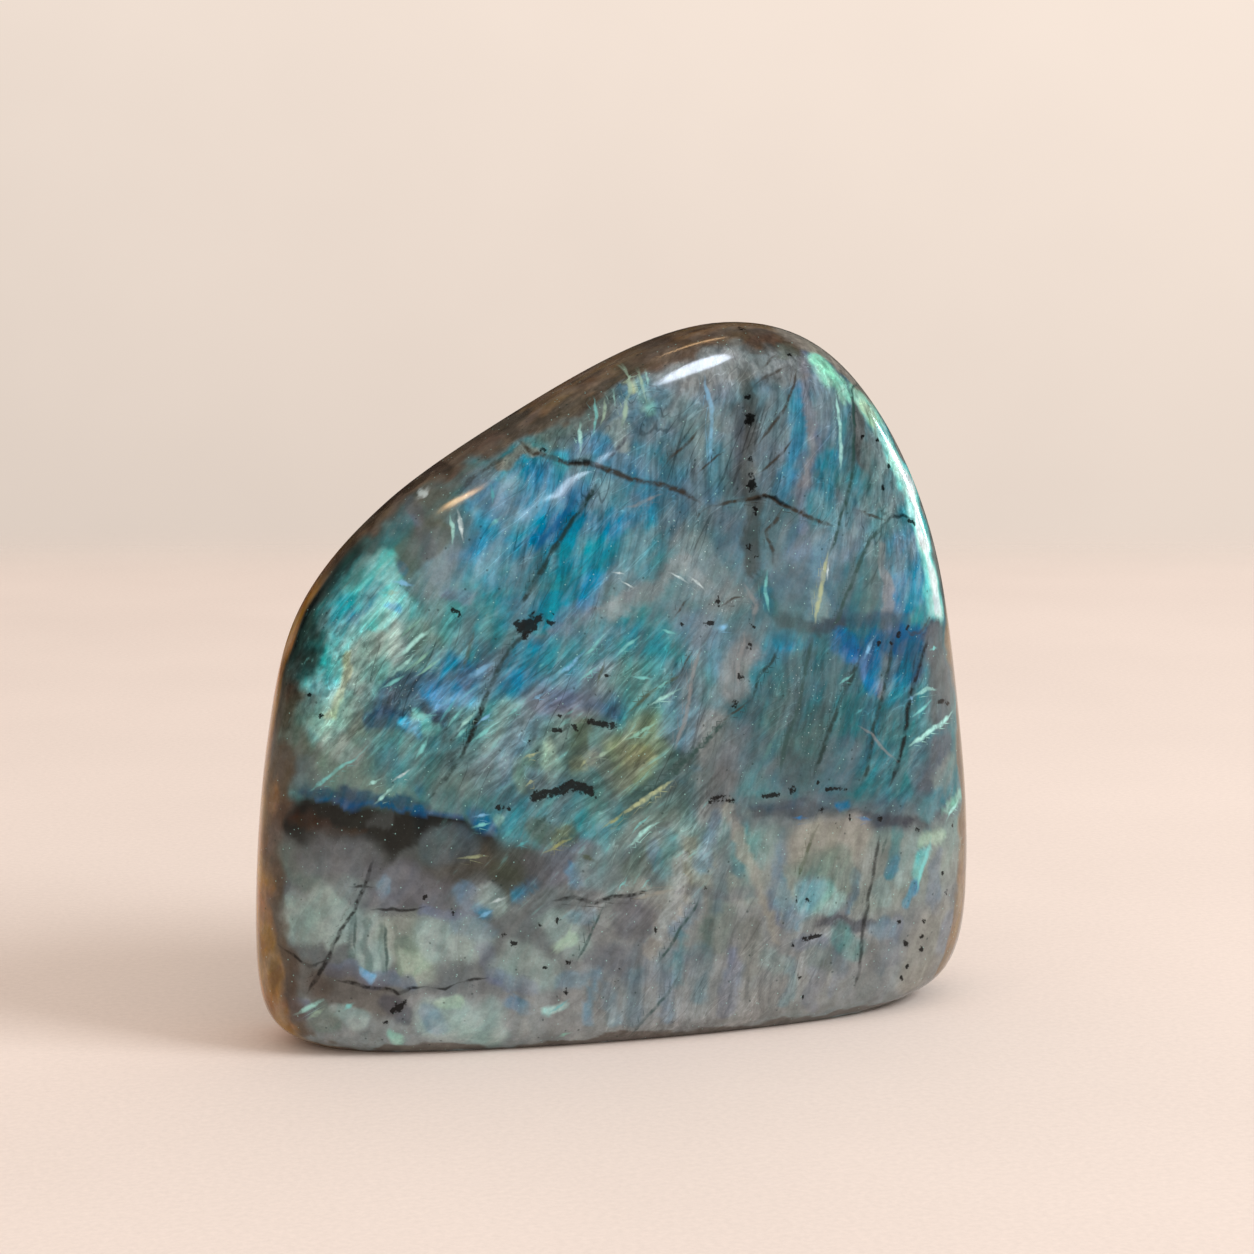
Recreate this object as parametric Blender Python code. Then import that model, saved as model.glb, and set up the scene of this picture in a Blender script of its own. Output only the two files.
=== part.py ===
"""Polished labradorite: one natural stone, rounded and polished all over, its base ground flat to stand on.

The stone is a thick leaning leaf: a freeform outline seen from the front, two gently bowed broad faces that
thin out towards the sides and the top, and soft rounded rims all round. X runs across it, -Y is its front,
Z is up, and it stands on Z = 0 with its middle over the origin.
"""
import bpy
import bmesh
import numpy as np

# Driving dimensions, in metres
THICKNESS = 0.031           # between the broad faces at the middle of the base
RIM_ACROSS = 0.011          # how far in from the outline the rounding starts, seen from the front
RIM_DEEP = 0.010            # how far back from a broad face the rounding reaches
BASE_ROUND = 0.007          # height of the rounding above the base of the stone, before it was ground
BASE_GROUND_OFF = 0.002     # what grinding the base flat took away
FRONT_BOW = 0.007           # how much the front falls back towards the sides
BACK_BOW = 0.003            # the same at the back
TOP_TAPER = 0.0035          # how much thinner each face gets up to the top
BOW_HALF_WIDTH = 0.050      # distance from the crest of the bow at which it has its full depth
BOW_CREST = 0.004           # the crest of the bow lies this far to the right of the middle
TAPER_HEIGHT = 0.100        # height at which the taper has its full depth

# The outline seen square on, in millimetres, x across and z up, clockwise from the left foot.
# The points below z = 0 belong to the stone as it was before its base was ground.
OUTLINE_MM = [
    (-50.5, 4.5), (-51.5, 21), (-49.5, 43), (-45, 60), (-32.5, 74), (-13, 86.5),
    (5, 95.5), (18, 98), (29.5, 94), (39.5, 82.5), (47, 65), (51, 41), (52.5, 21), (50.5, 5.5),
    (40, -4), (26, -9), (-3, -10), (-28, -9), (-43, -5),
]
MILLIMETRE = 0.001

# The points of the mesh lie on straight lines out of the heart of the stone
HEART = np.array((0.0, 0.0, 0.045))
HALF_BLOCK = np.array((0.052, 0.016, 0.050))   # half size of the block that the lines go through
LOOPS_PER_EDGE = 21                            # cuts along each edge of that block
CROWDING = 0.3                                 # 0 spaces the cuts evenly, more crowds them to the rims

# How the outline and the surface are found
CURVE_STEPS = 24            # points of the curve between two points of the outline
SEARCH_REACH = 3.0          # the surface lies within this many half blocks of the heart
SEARCH_STEPS = 40           # halvings of that reach
MERGE = 1e-5                # points closer than this are one

STONE_COLOUR = (0.035, 0.060, 0.062, 1.0)      # dark grey teal
STONE_ROUGHNESS = 0.12
STONE_IOR = 1.56


def closed_curve(points, steps):
    """A smooth closed curve through the points (Catmull-Rom)."""
    count = len(points)
    curve = []
    for i in range(count):
        before, start, end, after = (points[(i + k) % count] for k in (-1, 0, 1, 2))
        for t in np.arange(steps) / steps:
            bend = 2 * before - 5 * start + 4 * end - after
            twist = 3 * start - before - 3 * end + after
            curve.append(0.5 * (2 * start + (end - before) * t + bend * t ** 2 + twist * t ** 3))
    return np.array(curve)


def outline_by_angle():
    """The outline as its distance from the heart, in every direction around it."""
    curve = closed_curve(np.array(OUTLINE_MM) * MILLIMETRE, CURVE_STEPS) - HEART[[0, 2]]
    angle = np.arctan2(curve[:, 1], curve[:, 0])
    order = np.argsort(angle)
    return angle[order], np.linalg.norm(curve, axis=1)[order]


OUTLINE_ANGLE, OUTLINE_REACH = outline_by_angle()


def beyond(distance, radius):
    """0 on the flat of the stone, rising to 1 where a rounding of this radius ends."""
    return (np.maximum(0.0, distance) / radius) ** 2


def fullness(points):
    """Under 1 inside the stone, 1 on its surface."""
    across, deep, up = (points - HEART).T
    height = points[:, 2]
    reach = np.interp(np.arctan2(up, across), OUTLINE_ANGLE, OUTLINE_REACH, period=2 * np.pi)
    inset = reach - np.hypot(across, up)
    sideways = ((points[:, 0] - BOW_CREST) / BOW_HALF_WIDTH) ** 2
    bow = np.where(deep < 0, FRONT_BOW, BACK_BOW) * sideways
    taper = TOP_TAPER * (np.clip(height, 0, TAPER_HEIGHT) / TAPER_HEIGHT) ** 2
    half_thickness = THICKNESS / 2 - bow - taper
    rounding = np.minimum(RIM_DEEP, half_thickness)
    return (beyond(RIM_ACROSS - inset, RIM_ACROSS)
            + beyond(np.abs(deep) - (half_thickness - rounding), rounding)
            + beyond(BASE_ROUND - BASE_GROUND_OFF - height, BASE_ROUND))


def on_surface(directions):
    """Where straight lines from the heart leave the stone."""
    inside = np.zeros(len(directions))
    outside = np.full(len(directions), SEARCH_REACH)
    for _ in range(SEARCH_STEPS):
        middle = (inside + outside) / 2
        within = fullness(HEART + directions * middle[:, None]) < 1
        inside = np.where(within, middle, inside)
        outside = np.where(within, outside, middle)
    return HEART + directions * inside[:, None]


def grown_stone():
    """The whole rounded stone: a block cut into small faces, each point moved out onto the surface."""
    mesh = bmesh.new()
    bmesh.ops.create_cube(mesh, size=2.0)
    bmesh.ops.subdivide_edges(mesh, edges=mesh.edges[:], cuts=LOOPS_PER_EDGE, use_grid_fill=True)
    corners = np.array([vertex.co[:] for vertex in mesh.verts])
    crowded = corners * (1 + CROWDING - CROWDING * corners ** 2)
    for vertex, place in zip(mesh.verts, on_surface(crowded * HALF_BLOCK)):
        vertex.co = place
    return mesh


def grind_base(mesh):
    """Cuts the stone off flat at Z = 0 and closes the cut with one flat face."""
    everything = mesh.verts[:] + mesh.edges[:] + mesh.faces[:]
    bmesh.ops.bisect_plane(mesh, geom=everything, dist=MERGE, plane_co=(0, 0, 0), plane_no=(0, 0, -1),
                           clear_outer=True)
    rim = [edge for edge in mesh.edges if edge.is_boundary]
    bmesh.ops.contextual_create(mesh, geom=rim)
    bmesh.ops.remove_doubles(mesh, verts=mesh.verts[:], dist=MERGE)
    bmesh.ops.recalc_face_normals(mesh, faces=mesh.faces[:])


def bring_over_origin(mesh):
    """Moves the stone so that the middle of its box is over the origin."""
    places = np.array([vertex.co[:] for vertex in mesh.verts])
    middle = (places.min(axis=0) + places.max(axis=0)) / 2
    bmesh.ops.translate(mesh, verts=mesh.verts[:], vec=(-middle[0], -middle[1], 0))


def polished_stone_material():
    """Dark feldspar with a glassy polish."""
    material = bpy.data.materials.new("polished_labradorite")
    material.use_nodes = True
    shader = material.node_tree.nodes["Principled BSDF"]
    shader.inputs["Base Color"].default_value = STONE_COLOUR
    shader.inputs["Roughness"].default_value = STONE_ROUGHNESS
    shader.inputs["Metallic"].default_value = 0.0
    shader.inputs["IOR"].default_value = STONE_IOR
    return material


def make_polished_labradorite():
    mesh = grown_stone()
    grind_base(mesh)
    bring_over_origin(mesh)
    data = bpy.data.meshes.new("polished_labradorite")
    mesh.to_mesh(data)
    mesh.free()
    data.shade_smooth()
    data.materials.append(polished_stone_material())
    stone = bpy.data.objects.new("polished_labradorite", data)
    bpy.context.scene.collection.objects.link(stone)
    return stone


def main():
    for leftover in list(bpy.data.objects):
        bpy.data.objects.remove(leftover)
    make_polished_labradorite()


main()
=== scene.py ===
# %% [markdown]
# A polished labradorite
#
# Labradorite is a dark feldspar. Thin layers inside the crystal split white light, so patches of the polished
# stone flash blue, teal, green or gold, while the rest stays smoke grey. This stone is one natural piece: it
# was ground to a leaning leaf, rounded and polished all over, and its base was ground flat to stand on.
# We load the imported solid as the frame, lay a fine skin over it, brush the colour play onto the skin, and
# light it softly on a pale table.

# %% Load the frame
import math
import bpy
import numpy as np
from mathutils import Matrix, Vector


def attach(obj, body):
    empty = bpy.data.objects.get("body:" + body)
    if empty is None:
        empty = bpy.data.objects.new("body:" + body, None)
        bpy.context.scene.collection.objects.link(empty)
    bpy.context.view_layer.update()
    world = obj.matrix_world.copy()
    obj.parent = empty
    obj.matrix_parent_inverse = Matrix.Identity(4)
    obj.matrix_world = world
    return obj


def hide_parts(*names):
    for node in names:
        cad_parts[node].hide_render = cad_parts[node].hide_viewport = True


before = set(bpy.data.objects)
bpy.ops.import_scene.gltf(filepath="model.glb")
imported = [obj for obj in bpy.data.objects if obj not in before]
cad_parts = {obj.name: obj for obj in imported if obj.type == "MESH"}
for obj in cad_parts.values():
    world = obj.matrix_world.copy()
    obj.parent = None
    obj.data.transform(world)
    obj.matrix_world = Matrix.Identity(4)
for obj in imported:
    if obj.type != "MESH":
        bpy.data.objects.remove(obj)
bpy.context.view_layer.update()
stone_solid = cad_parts["polished_labradorite"]

# %% [markdown]
# Colour and nodes
#
# A colour picker gives sRGB hex values, but a shader mixes light, which is linear, so one function turns the
# one into the other. A second small function adds a node with its settings and its links, which keeps the
# materials below as short as a recipe.

# %% Colour and node helpers
def linear(hex_colour):
    """A hex colour as red, green and blue light."""
    parts = [int(hex_colour[i:i + 2], 16) / 255 for i in (1, 3, 5)]
    return tuple(c / 12.92 if c <= 0.04045 else ((c + 0.055) / 1.055) ** 2.4 for c in parts)


def add(tree, kind, inputs=None, **settings):
    """Adds a node. A value in inputs is set on its socket, and a socket in inputs is linked to it."""
    node = tree.nodes.new(kind)
    for name, value in settings.items():
        setattr(node, name, value)
    for key, value in (inputs or {}).items():
        if isinstance(value, bpy.types.NodeSocket):
            tree.links.new(value, node.inputs[key])
        else:
            node.inputs[key].default_value = value
    return node


def start_material(name):
    """An empty material with its Principled shader."""
    material = bpy.data.materials.new(name)
    material.use_nodes = True
    return material, material.node_tree, material.node_tree.nodes["Principled BSDF"]

# %% [markdown]
# The camera
#
# The stone is seen from a little to its left and a little above, through a long lens, as one photographs a
# small thing on a table. The focal length follows from how many pixels of the square picture a slope of 1
# covers.

# %% Camera
PICTURE_SIDE = 1254           # pixels
SLOPE_PIXELS = 3000           # pixels for a slope of 1 away from the middle of the view
SENSOR = 36.0                 # mm
CAMERA_AZIMUTH = math.radians(-18)
CAMERA_ELEVATION = math.radians(8.5)
CAMERA_DISTANCE = 0.418       # metres, as every length of the scene is
CAMERA_AIM = Vector((0.0005, 0.0, 0.0557))

camera_data = bpy.data.cameras.new("camera")
camera_data.sensor_width = SENSOR
camera_data.lens = SENSOR * SLOPE_PIXELS / PICTURE_SIDE
camera_data.clip_start = 0.01
camera = bpy.data.objects.new("camera", camera_data)
bpy.context.scene.collection.objects.link(camera)
towards_camera = Vector((math.sin(CAMERA_AZIMUTH) * math.cos(CAMERA_ELEVATION),
                         -math.cos(CAMERA_AZIMUTH) * math.cos(CAMERA_ELEVATION), math.sin(CAMERA_ELEVATION)))
camera.location = CAMERA_AIM + towards_camera * CAMERA_DISTANCE
camera.rotation_euler = towards_camera.to_track_quat("Z", "Y").to_euler()
bpy.context.scene.camera = camera
bpy.context.scene.view_settings.view_transform = "Standard"
print("lens, mm:", round(camera_data.lens, 1))

# %% [markdown]
# The table
#
# A pale peach table top fades into a pale wall a good half metre behind the stone. A modelled wall would show
# a hard corner, so the far end of the table turns transparent instead, and the world's own colour, which is
# the wall, shows through. Two noises give the matt top its fine flecks and faint clouds.

# %% Table
TABLE_COLOUR = linear("#e3dad5")
TABLE_BACK_EDGE = 0.53         # distance behind the stone at which the table has half faded
TABLE_FADE = 0.09              # depth of the fade
TABLE_REACH = 2.5              # how far the table goes in front and to the sides
FLECKS_PER_METRE = 1100.0      # flecks of about 0.9 mm
CLOUDS_PER_METRE = 14.0        # clouds of about 70 mm

bpy.ops.object.select_all(action="DESELECT")
bpy.ops.mesh.primitive_plane_add(size=2 * TABLE_REACH, location=(0, 0, 0))
table = bpy.context.object
table.name = "table"
table.data.materials.clear()

# Painted wood or card: matt, so it only shows soft shadow and no reflection.
table_paint, tree, shader = start_material("matt_peach_table")
place = add(tree, "ShaderNodeTexCoord").outputs["Object"]
turned = add(tree, "ShaderNodeMapping", {"Vector": place, "Rotation": (0, 0, -CAMERA_AZIMUTH)})
deep = add(tree, "ShaderNodeSeparateXYZ", {"Vector": turned.outputs["Vector"]}).outputs["Y"]
fade = add(tree, "ShaderNodeMapRange",
           {"Value": deep, "From Min": TABLE_BACK_EDGE - TABLE_FADE, "From Max": TABLE_BACK_EDGE + TABLE_FADE,
            "To Min": 1.0, "To Max": 0.0}, interpolation_type="SMOOTHERSTEP")
fleck = add(tree, "ShaderNodeTexNoise",
            {"Vector": place, "Scale": FLECKS_PER_METRE, "Detail": 3.0, "Roughness": 0.7}).outputs["Fac"]
cloud = add(tree, "ShaderNodeTexNoise",
            {"Vector": place, "Scale": CLOUDS_PER_METRE, "Detail": 3.0}).outputs["Fac"]
light = add(tree, "ShaderNodeMath", {0: fleck, 1: 0.22, 2: 0.84}, operation="MULTIPLY_ADD").outputs["Value"]
light = add(tree, "ShaderNodeMath", {0: cloud, 1: 0.10, 2: light}, operation="MULTIPLY_ADD").outputs["Value"]
tint = add(tree, "ShaderNodeVectorMath", {0: TABLE_COLOUR, "Scale": light}, operation="SCALE")
tree.links.new(tint.outputs["Vector"], shader.inputs["Base Color"])
tree.links.new(fade.outputs["Result"], shader.inputs["Alpha"])
shader.inputs["Roughness"].default_value = 0.75
shader.inputs["Specular IOR Level"].default_value = 0.2
table.data.materials.append(table_paint)
print("table, m:", tuple(round(side, 2) for side in table.dimensions))

# %% [markdown]
# The wall
#
# The world is the wall. It is a little brighter to the right, where the lamp is, and darker low down. Glossy
# rays don't see it, as if black cards stood beside the lens, so that it doesn't haze the polish of the stone.

# %% Wall
WALL_COLOUR = linear("#edddd0")
RIGHT = (math.cos(CAMERA_AZIMUTH), math.sin(CAMERA_AZIMUTH), 0.0)

world = bpy.data.worlds.new("pale_wall")
world.use_nodes = True
tree = world.node_tree
look = add(tree, "ShaderNodeTexCoord").outputs["Generated"]      # in a world this is the direction looked in
aside = add(tree, "ShaderNodeVectorMath", {0: look, 1: RIGHT}, operation="DOT_PRODUCT").outputs["Value"]
aside = add(tree, "ShaderNodeMapRange", {"Value": aside, "From Min": -0.25, "From Max": 0.25,
                                         "To Min": 0.94, "To Max": 1.07}).outputs["Result"]
upward = add(tree, "ShaderNodeSeparateXYZ", {"Vector": look}).outputs["Z"]
upward = add(tree, "ShaderNodeMapRange", {"Value": upward, "From Min": -0.125, "From Max": 0.06,
                                          "To Min": 0.89, "To Max": 1.06}).outputs["Result"]
plaster = add(tree, "ShaderNodeTexNoise", {"Vector": look, "Scale": 16.0, "Detail": 3.0}).outputs["Fac"]
plaster = add(tree, "ShaderNodeMath", {0: plaster, 1: 0.06, 2: 0.97}, operation="MULTIPLY_ADD")
strength = add(tree, "ShaderNodeMath", {0: aside, 1: upward}, operation="MULTIPLY")
strength = add(tree, "ShaderNodeMath", {0: strength.outputs["Value"], 1: plaster.outputs["Value"]},
               operation="MULTIPLY")
tree.nodes["Background"].inputs["Color"].default_value = (*WALL_COLOUR, 1)
tree.links.new(strength.outputs["Value"], tree.nodes["Background"].inputs["Strength"])
world.cycles_visibility.glossy = False
bpy.context.scene.world = world
print("wall nodes:", len(tree.nodes))

# %% [markdown]
# The lamps
#
# A large soft lamp on the right lights the scene and throws the soft shadow to the left. Small bright lamps
# make the glints that tell the eye that the stone is polished. They are seen in glossy surfaces only, so
# they don't flatten the shadow.

# %% Lamps
# name, place, size across and up, watts, colour, lights matt surfaces, shows in glossy ones
STONE_MIDDLE = Vector((0.0, 0.0, 0.05))
LAMPS = [
    ("softbox_right", (1.00, -0.75, 1.00), 0.60, 0.60, 14.5, "#ffffff", True, False),
    ("strip_overhead", (0.06, -0.21, 0.87), 0.32, 0.25, 11.0, "#e3eeff", False, True),
    ("warm_slit_left", (-0.47, -0.19, 0.79), 0.18, 0.035, 1.5, "#ffd09a", False, True),
    ("small_window", (-0.05, -0.86, 0.31), 0.12, 0.09, 1.0, "#d8ecff", False, True),
    ("warm_slit_behind", (0.09, 0.38, 0.86), 0.26, 0.03, 0.45, "#ffd09a", False, True),
    ("strip_right", (0.85, 0.40, 0.20), 0.07, 0.24, 1.2, "#dffff6", False, True),
]
for name, place, wide, high, watts, colour, on_matt, on_gloss in LAMPS:
    lamp = bpy.data.lights.new(name, "AREA")
    lamp.shape = "RECTANGLE" if on_matt else "ELLIPSE"
    lamp.size = wide
    lamp.size_y = high
    lamp.energy = watts
    lamp.color = linear(colour)
    holder = bpy.data.objects.new(name, lamp)
    holder.location = place
    holder.rotation_euler = (Vector(place) - STONE_MIDDLE).to_track_quat("Z", "Y").to_euler()
    holder.visible_diffuse = on_matt
    holder.visible_glossy = on_gloss
    bpy.context.scene.collection.objects.link(holder)
print("lamps:", len(LAMPS))

# %% [markdown]
# The skin
#
# The solid is faceted. It could be smoothed by shading alone, but its outline would keep the corners, and the
# colours need many points to lie on. So its mesh is copied, the loose triangles are merged and joined to
# squares, and a Subdivision Surface rounds them. The ring round the ground base is creased so that the base
# stays flat and its edge crisp.

# %% Skin
MERGE_GAP = 1e-5              # metres
FACES_DOWN = -0.999           # a face is part of the flat base where the z of its normal is below this

bpy.ops.object.select_all(action="DESELECT")
skin = bpy.data.objects.new("stone_skin", stone_solid.data.copy())
bpy.context.scene.collection.objects.link(skin)
skin.select_set(True)
bpy.context.view_layer.objects.active = skin
bpy.ops.object.mode_set(mode="EDIT")
bpy.ops.mesh.select_all(action="SELECT")
bpy.ops.mesh.customdata_custom_splitnormals_clear()
bpy.ops.mesh.remove_doubles(threshold=MERGE_GAP)
bpy.ops.mesh.tris_convert_to_quads()
bpy.ops.object.mode_set(mode="OBJECT")

faces_at_edge = {}
for face in skin.data.polygons:
    for key in face.edge_keys:
        faces_at_edge.setdefault(key, []).append(face.normal.z < FACES_DOWN)
crease = skin.data.attributes.new("crease_edge", "FLOAT", "EDGE")
for edge in skin.data.edges:
    crease.data[edge.index].value = 1.0 if len(set(faces_at_edge[edge.key])) == 2 else 0.0

rounding = skin.modifiers.new("rounding", "SUBSURF")
rounding.levels = 2
rounding.render_levels = 2
bpy.ops.object.modifier_apply(modifier="rounding")
print("rounded skin:", len(skin.data.polygons), "faces")

# %% [markdown]
# A finer front
#
# The front carries the finest colours, so only its squares are cut once more. Cutting the whole skin would
# come to about 360,000 triangles instead of 198,000, for a back that has no fine lines.

# %% Finer front
FRONT_FACE = 0.55             # a face is on the front where its normal points this much forwards
SHARPEST_SMOOTH = math.radians(40)

bpy.ops.object.mode_set(mode="EDIT")
bpy.ops.mesh.select_all(action="DESELECT")
bpy.ops.object.mode_set(mode="OBJECT")
for face in skin.data.polygons:
    face.select = face.normal.y < -FRONT_FACE
bpy.ops.object.mode_set(mode="EDIT")
bpy.ops.mesh.select_mode(type="FACE")
bpy.ops.mesh.subdivide(number_cuts=1, smoothness=0)
bpy.ops.object.mode_set(mode="OBJECT")
bpy.ops.object.shade_smooth_by_angle(angle=SHARPEST_SMOOTH)

count = len(skin.data.vertices)
points = np.empty(count * 3)
skin.data.vertices.foreach_get("co", points)
points = points.reshape(-1, 3) * 1000            # mm from here on, as the colours are laid out
normals = np.empty(count * 3, np.float32)
skin.data.vertex_normals.foreach_get("vector", normals)
normals = normals.reshape(-1, 3)
skin.data.calc_loop_triangles()
print("skin:", count, "points,", len(skin.data.loop_triangles), "triangles, lowest", points[:, 2].min())

# %% [markdown]
# The colours
#
# The colours are named for what they are on the stone. They are given as they are seen on it, and the paint
# is made a little cooler and darker than that, because the warm light and the gloss on top add to it.

# %% Palette
SEEN = {
    "smoke": "#1d1a18", "smoke_soft": "#44433c", "rust": "#4a2a18", "umber": "#5a493b", "tan": "#8c7258",
    "rim_brown": "#65564a", "rim_olive": "#35352c", "olive_grey": "#5f6053", "gold_dark": "#4f5540",
    "gold": "#7d8460", "gold_bright": "#a5a56a", "cream": "#a8c0a8", "cream_gold": "#b9bd90",
    "pearl": "#91a19b", "pearl_warm": "#91988d", "beige": "#999387", "ash": "#868683", "ash_dark": "#6a6c6b",
    "mauve": "#656469", "mauve_dark": "#42424a", "lilac": "#6d7688", "pink_vein": "#8f8c8a",
    "violet_grey": "#485b69", "slate": "#627780", "slate_pale": "#748b97", "grey_teal": "#6e8182",
    "moss_grey": "#6c7b70", "green_teal": "#5f8783", "dull_teal": "#506460", "dark_teal": "#45656a",
    "mid_teal": "#416c73", "teal": "#4d8288", "blue_teal": "#52808c", "teal_blue": "#488193",
    "deep": "#374c47", "night": "#2c3834", "amber_and_painted_light": "#b88c63", "honey_dark": "#916c47",
    "rim_grey": "#8c8378", "crack": "#41382f", "deep_blue": "#27495f", "azure": "#438cab",
    "azure_pale": "#6292a9", "deep_azure": "#316f89", "blue": "#4682a0", "bright_blue": "#4c97c4",
    "royal": "#235c8a",
    "royal_bright": "#2d78ae", "indigo": "#2a3f58", "navy": "#27425c", "turquoise": "#82cbc8",
    "cyan": "#5eaeb2", "aqua": "#86d2cc", "aqua_pale": "#b4e8dc", "aqua_green": "#96cbb4",
    "flash": "#8cc4e6", "white": "#e6f2f0", "milk": "#9a9f9e", "black": "#0d0c0c",
}
LIGHT_GAIN = np.array((1.19, 1.06, 0.97))         # what the light multiplies a matt colour by
GLOSS_VEIL = np.array((0.012, 0.010, 0.009))      # what the polish adds over it
DARKEST = 0.001
PAINT = {name: np.clip((np.array(linear(seen)) - GLOSS_VEIL) / LIGHT_GAIN, DARKEST, 1.0)
         for name, seen in SEEN.items()}
print("colours:", len(PAINT))

# %% [markdown]
# Noise for shaping
#
# Nothing in a crystal has a ruled edge. A random field that varies smoothly in space bends the brush marks
# and mottles the ground colour. It is worked out from whole-number hashes, so it is the same on every run.

# %% Noise
def lattice(cell, seed):
    """A fixed random number from -1 to 1 for each whole-number cell."""
    mixed = (cell[:, 0] * 374761393 + cell[:, 1] * 668265263 + cell[:, 2] * 1440662683 + seed * 974634777)
    mixed = mixed & 0xFFFFFFFF
    mixed = ((mixed ^ (mixed >> 13)) * 1274126177) & 0xFFFFFFFF
    return ((mixed ^ (mixed >> 16)) & 0xFFFF) / 32767.5 - 1


def noise(where, size, seed):
    """A smooth random field from -1 to 1 whose blots are about size across, in mm."""
    scaled = where / size
    corner = np.floor(scaled).astype(np.int64)
    t = scaled - corner
    t = t * t * (3 - 2 * t)
    total = np.zeros(len(where))
    for x in (0, 1):
        for y in (0, 1):
            for z in (0, 1):
                share = (np.where(x, t[:, 0], 1 - t[:, 0]) * np.where(y, t[:, 1], 1 - t[:, 1])
                         * np.where(z, t[:, 2], 1 - t[:, 2]))
                total += share * lattice(corner + (x, y, z), seed)
    return total


def smooth_step(low, high, value):
    t = np.clip((value - low) / (high - low), 0, 1)
    return t * t * (3 - 2 * t)

# %% [markdown]
# Brushing the colours
#
# The flashes are shapes inside the crystal: patches, bands and streaks. Each is one brush mark: a colour, how
# strongly it covers, half its width, and the points of the front that it runs through, x across and z up in
# millimetres. The marks are laid one over the other, large ones first, on a copy of the points that noise
# has bent, and they fade out as the surface turns away at the rims.

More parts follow.
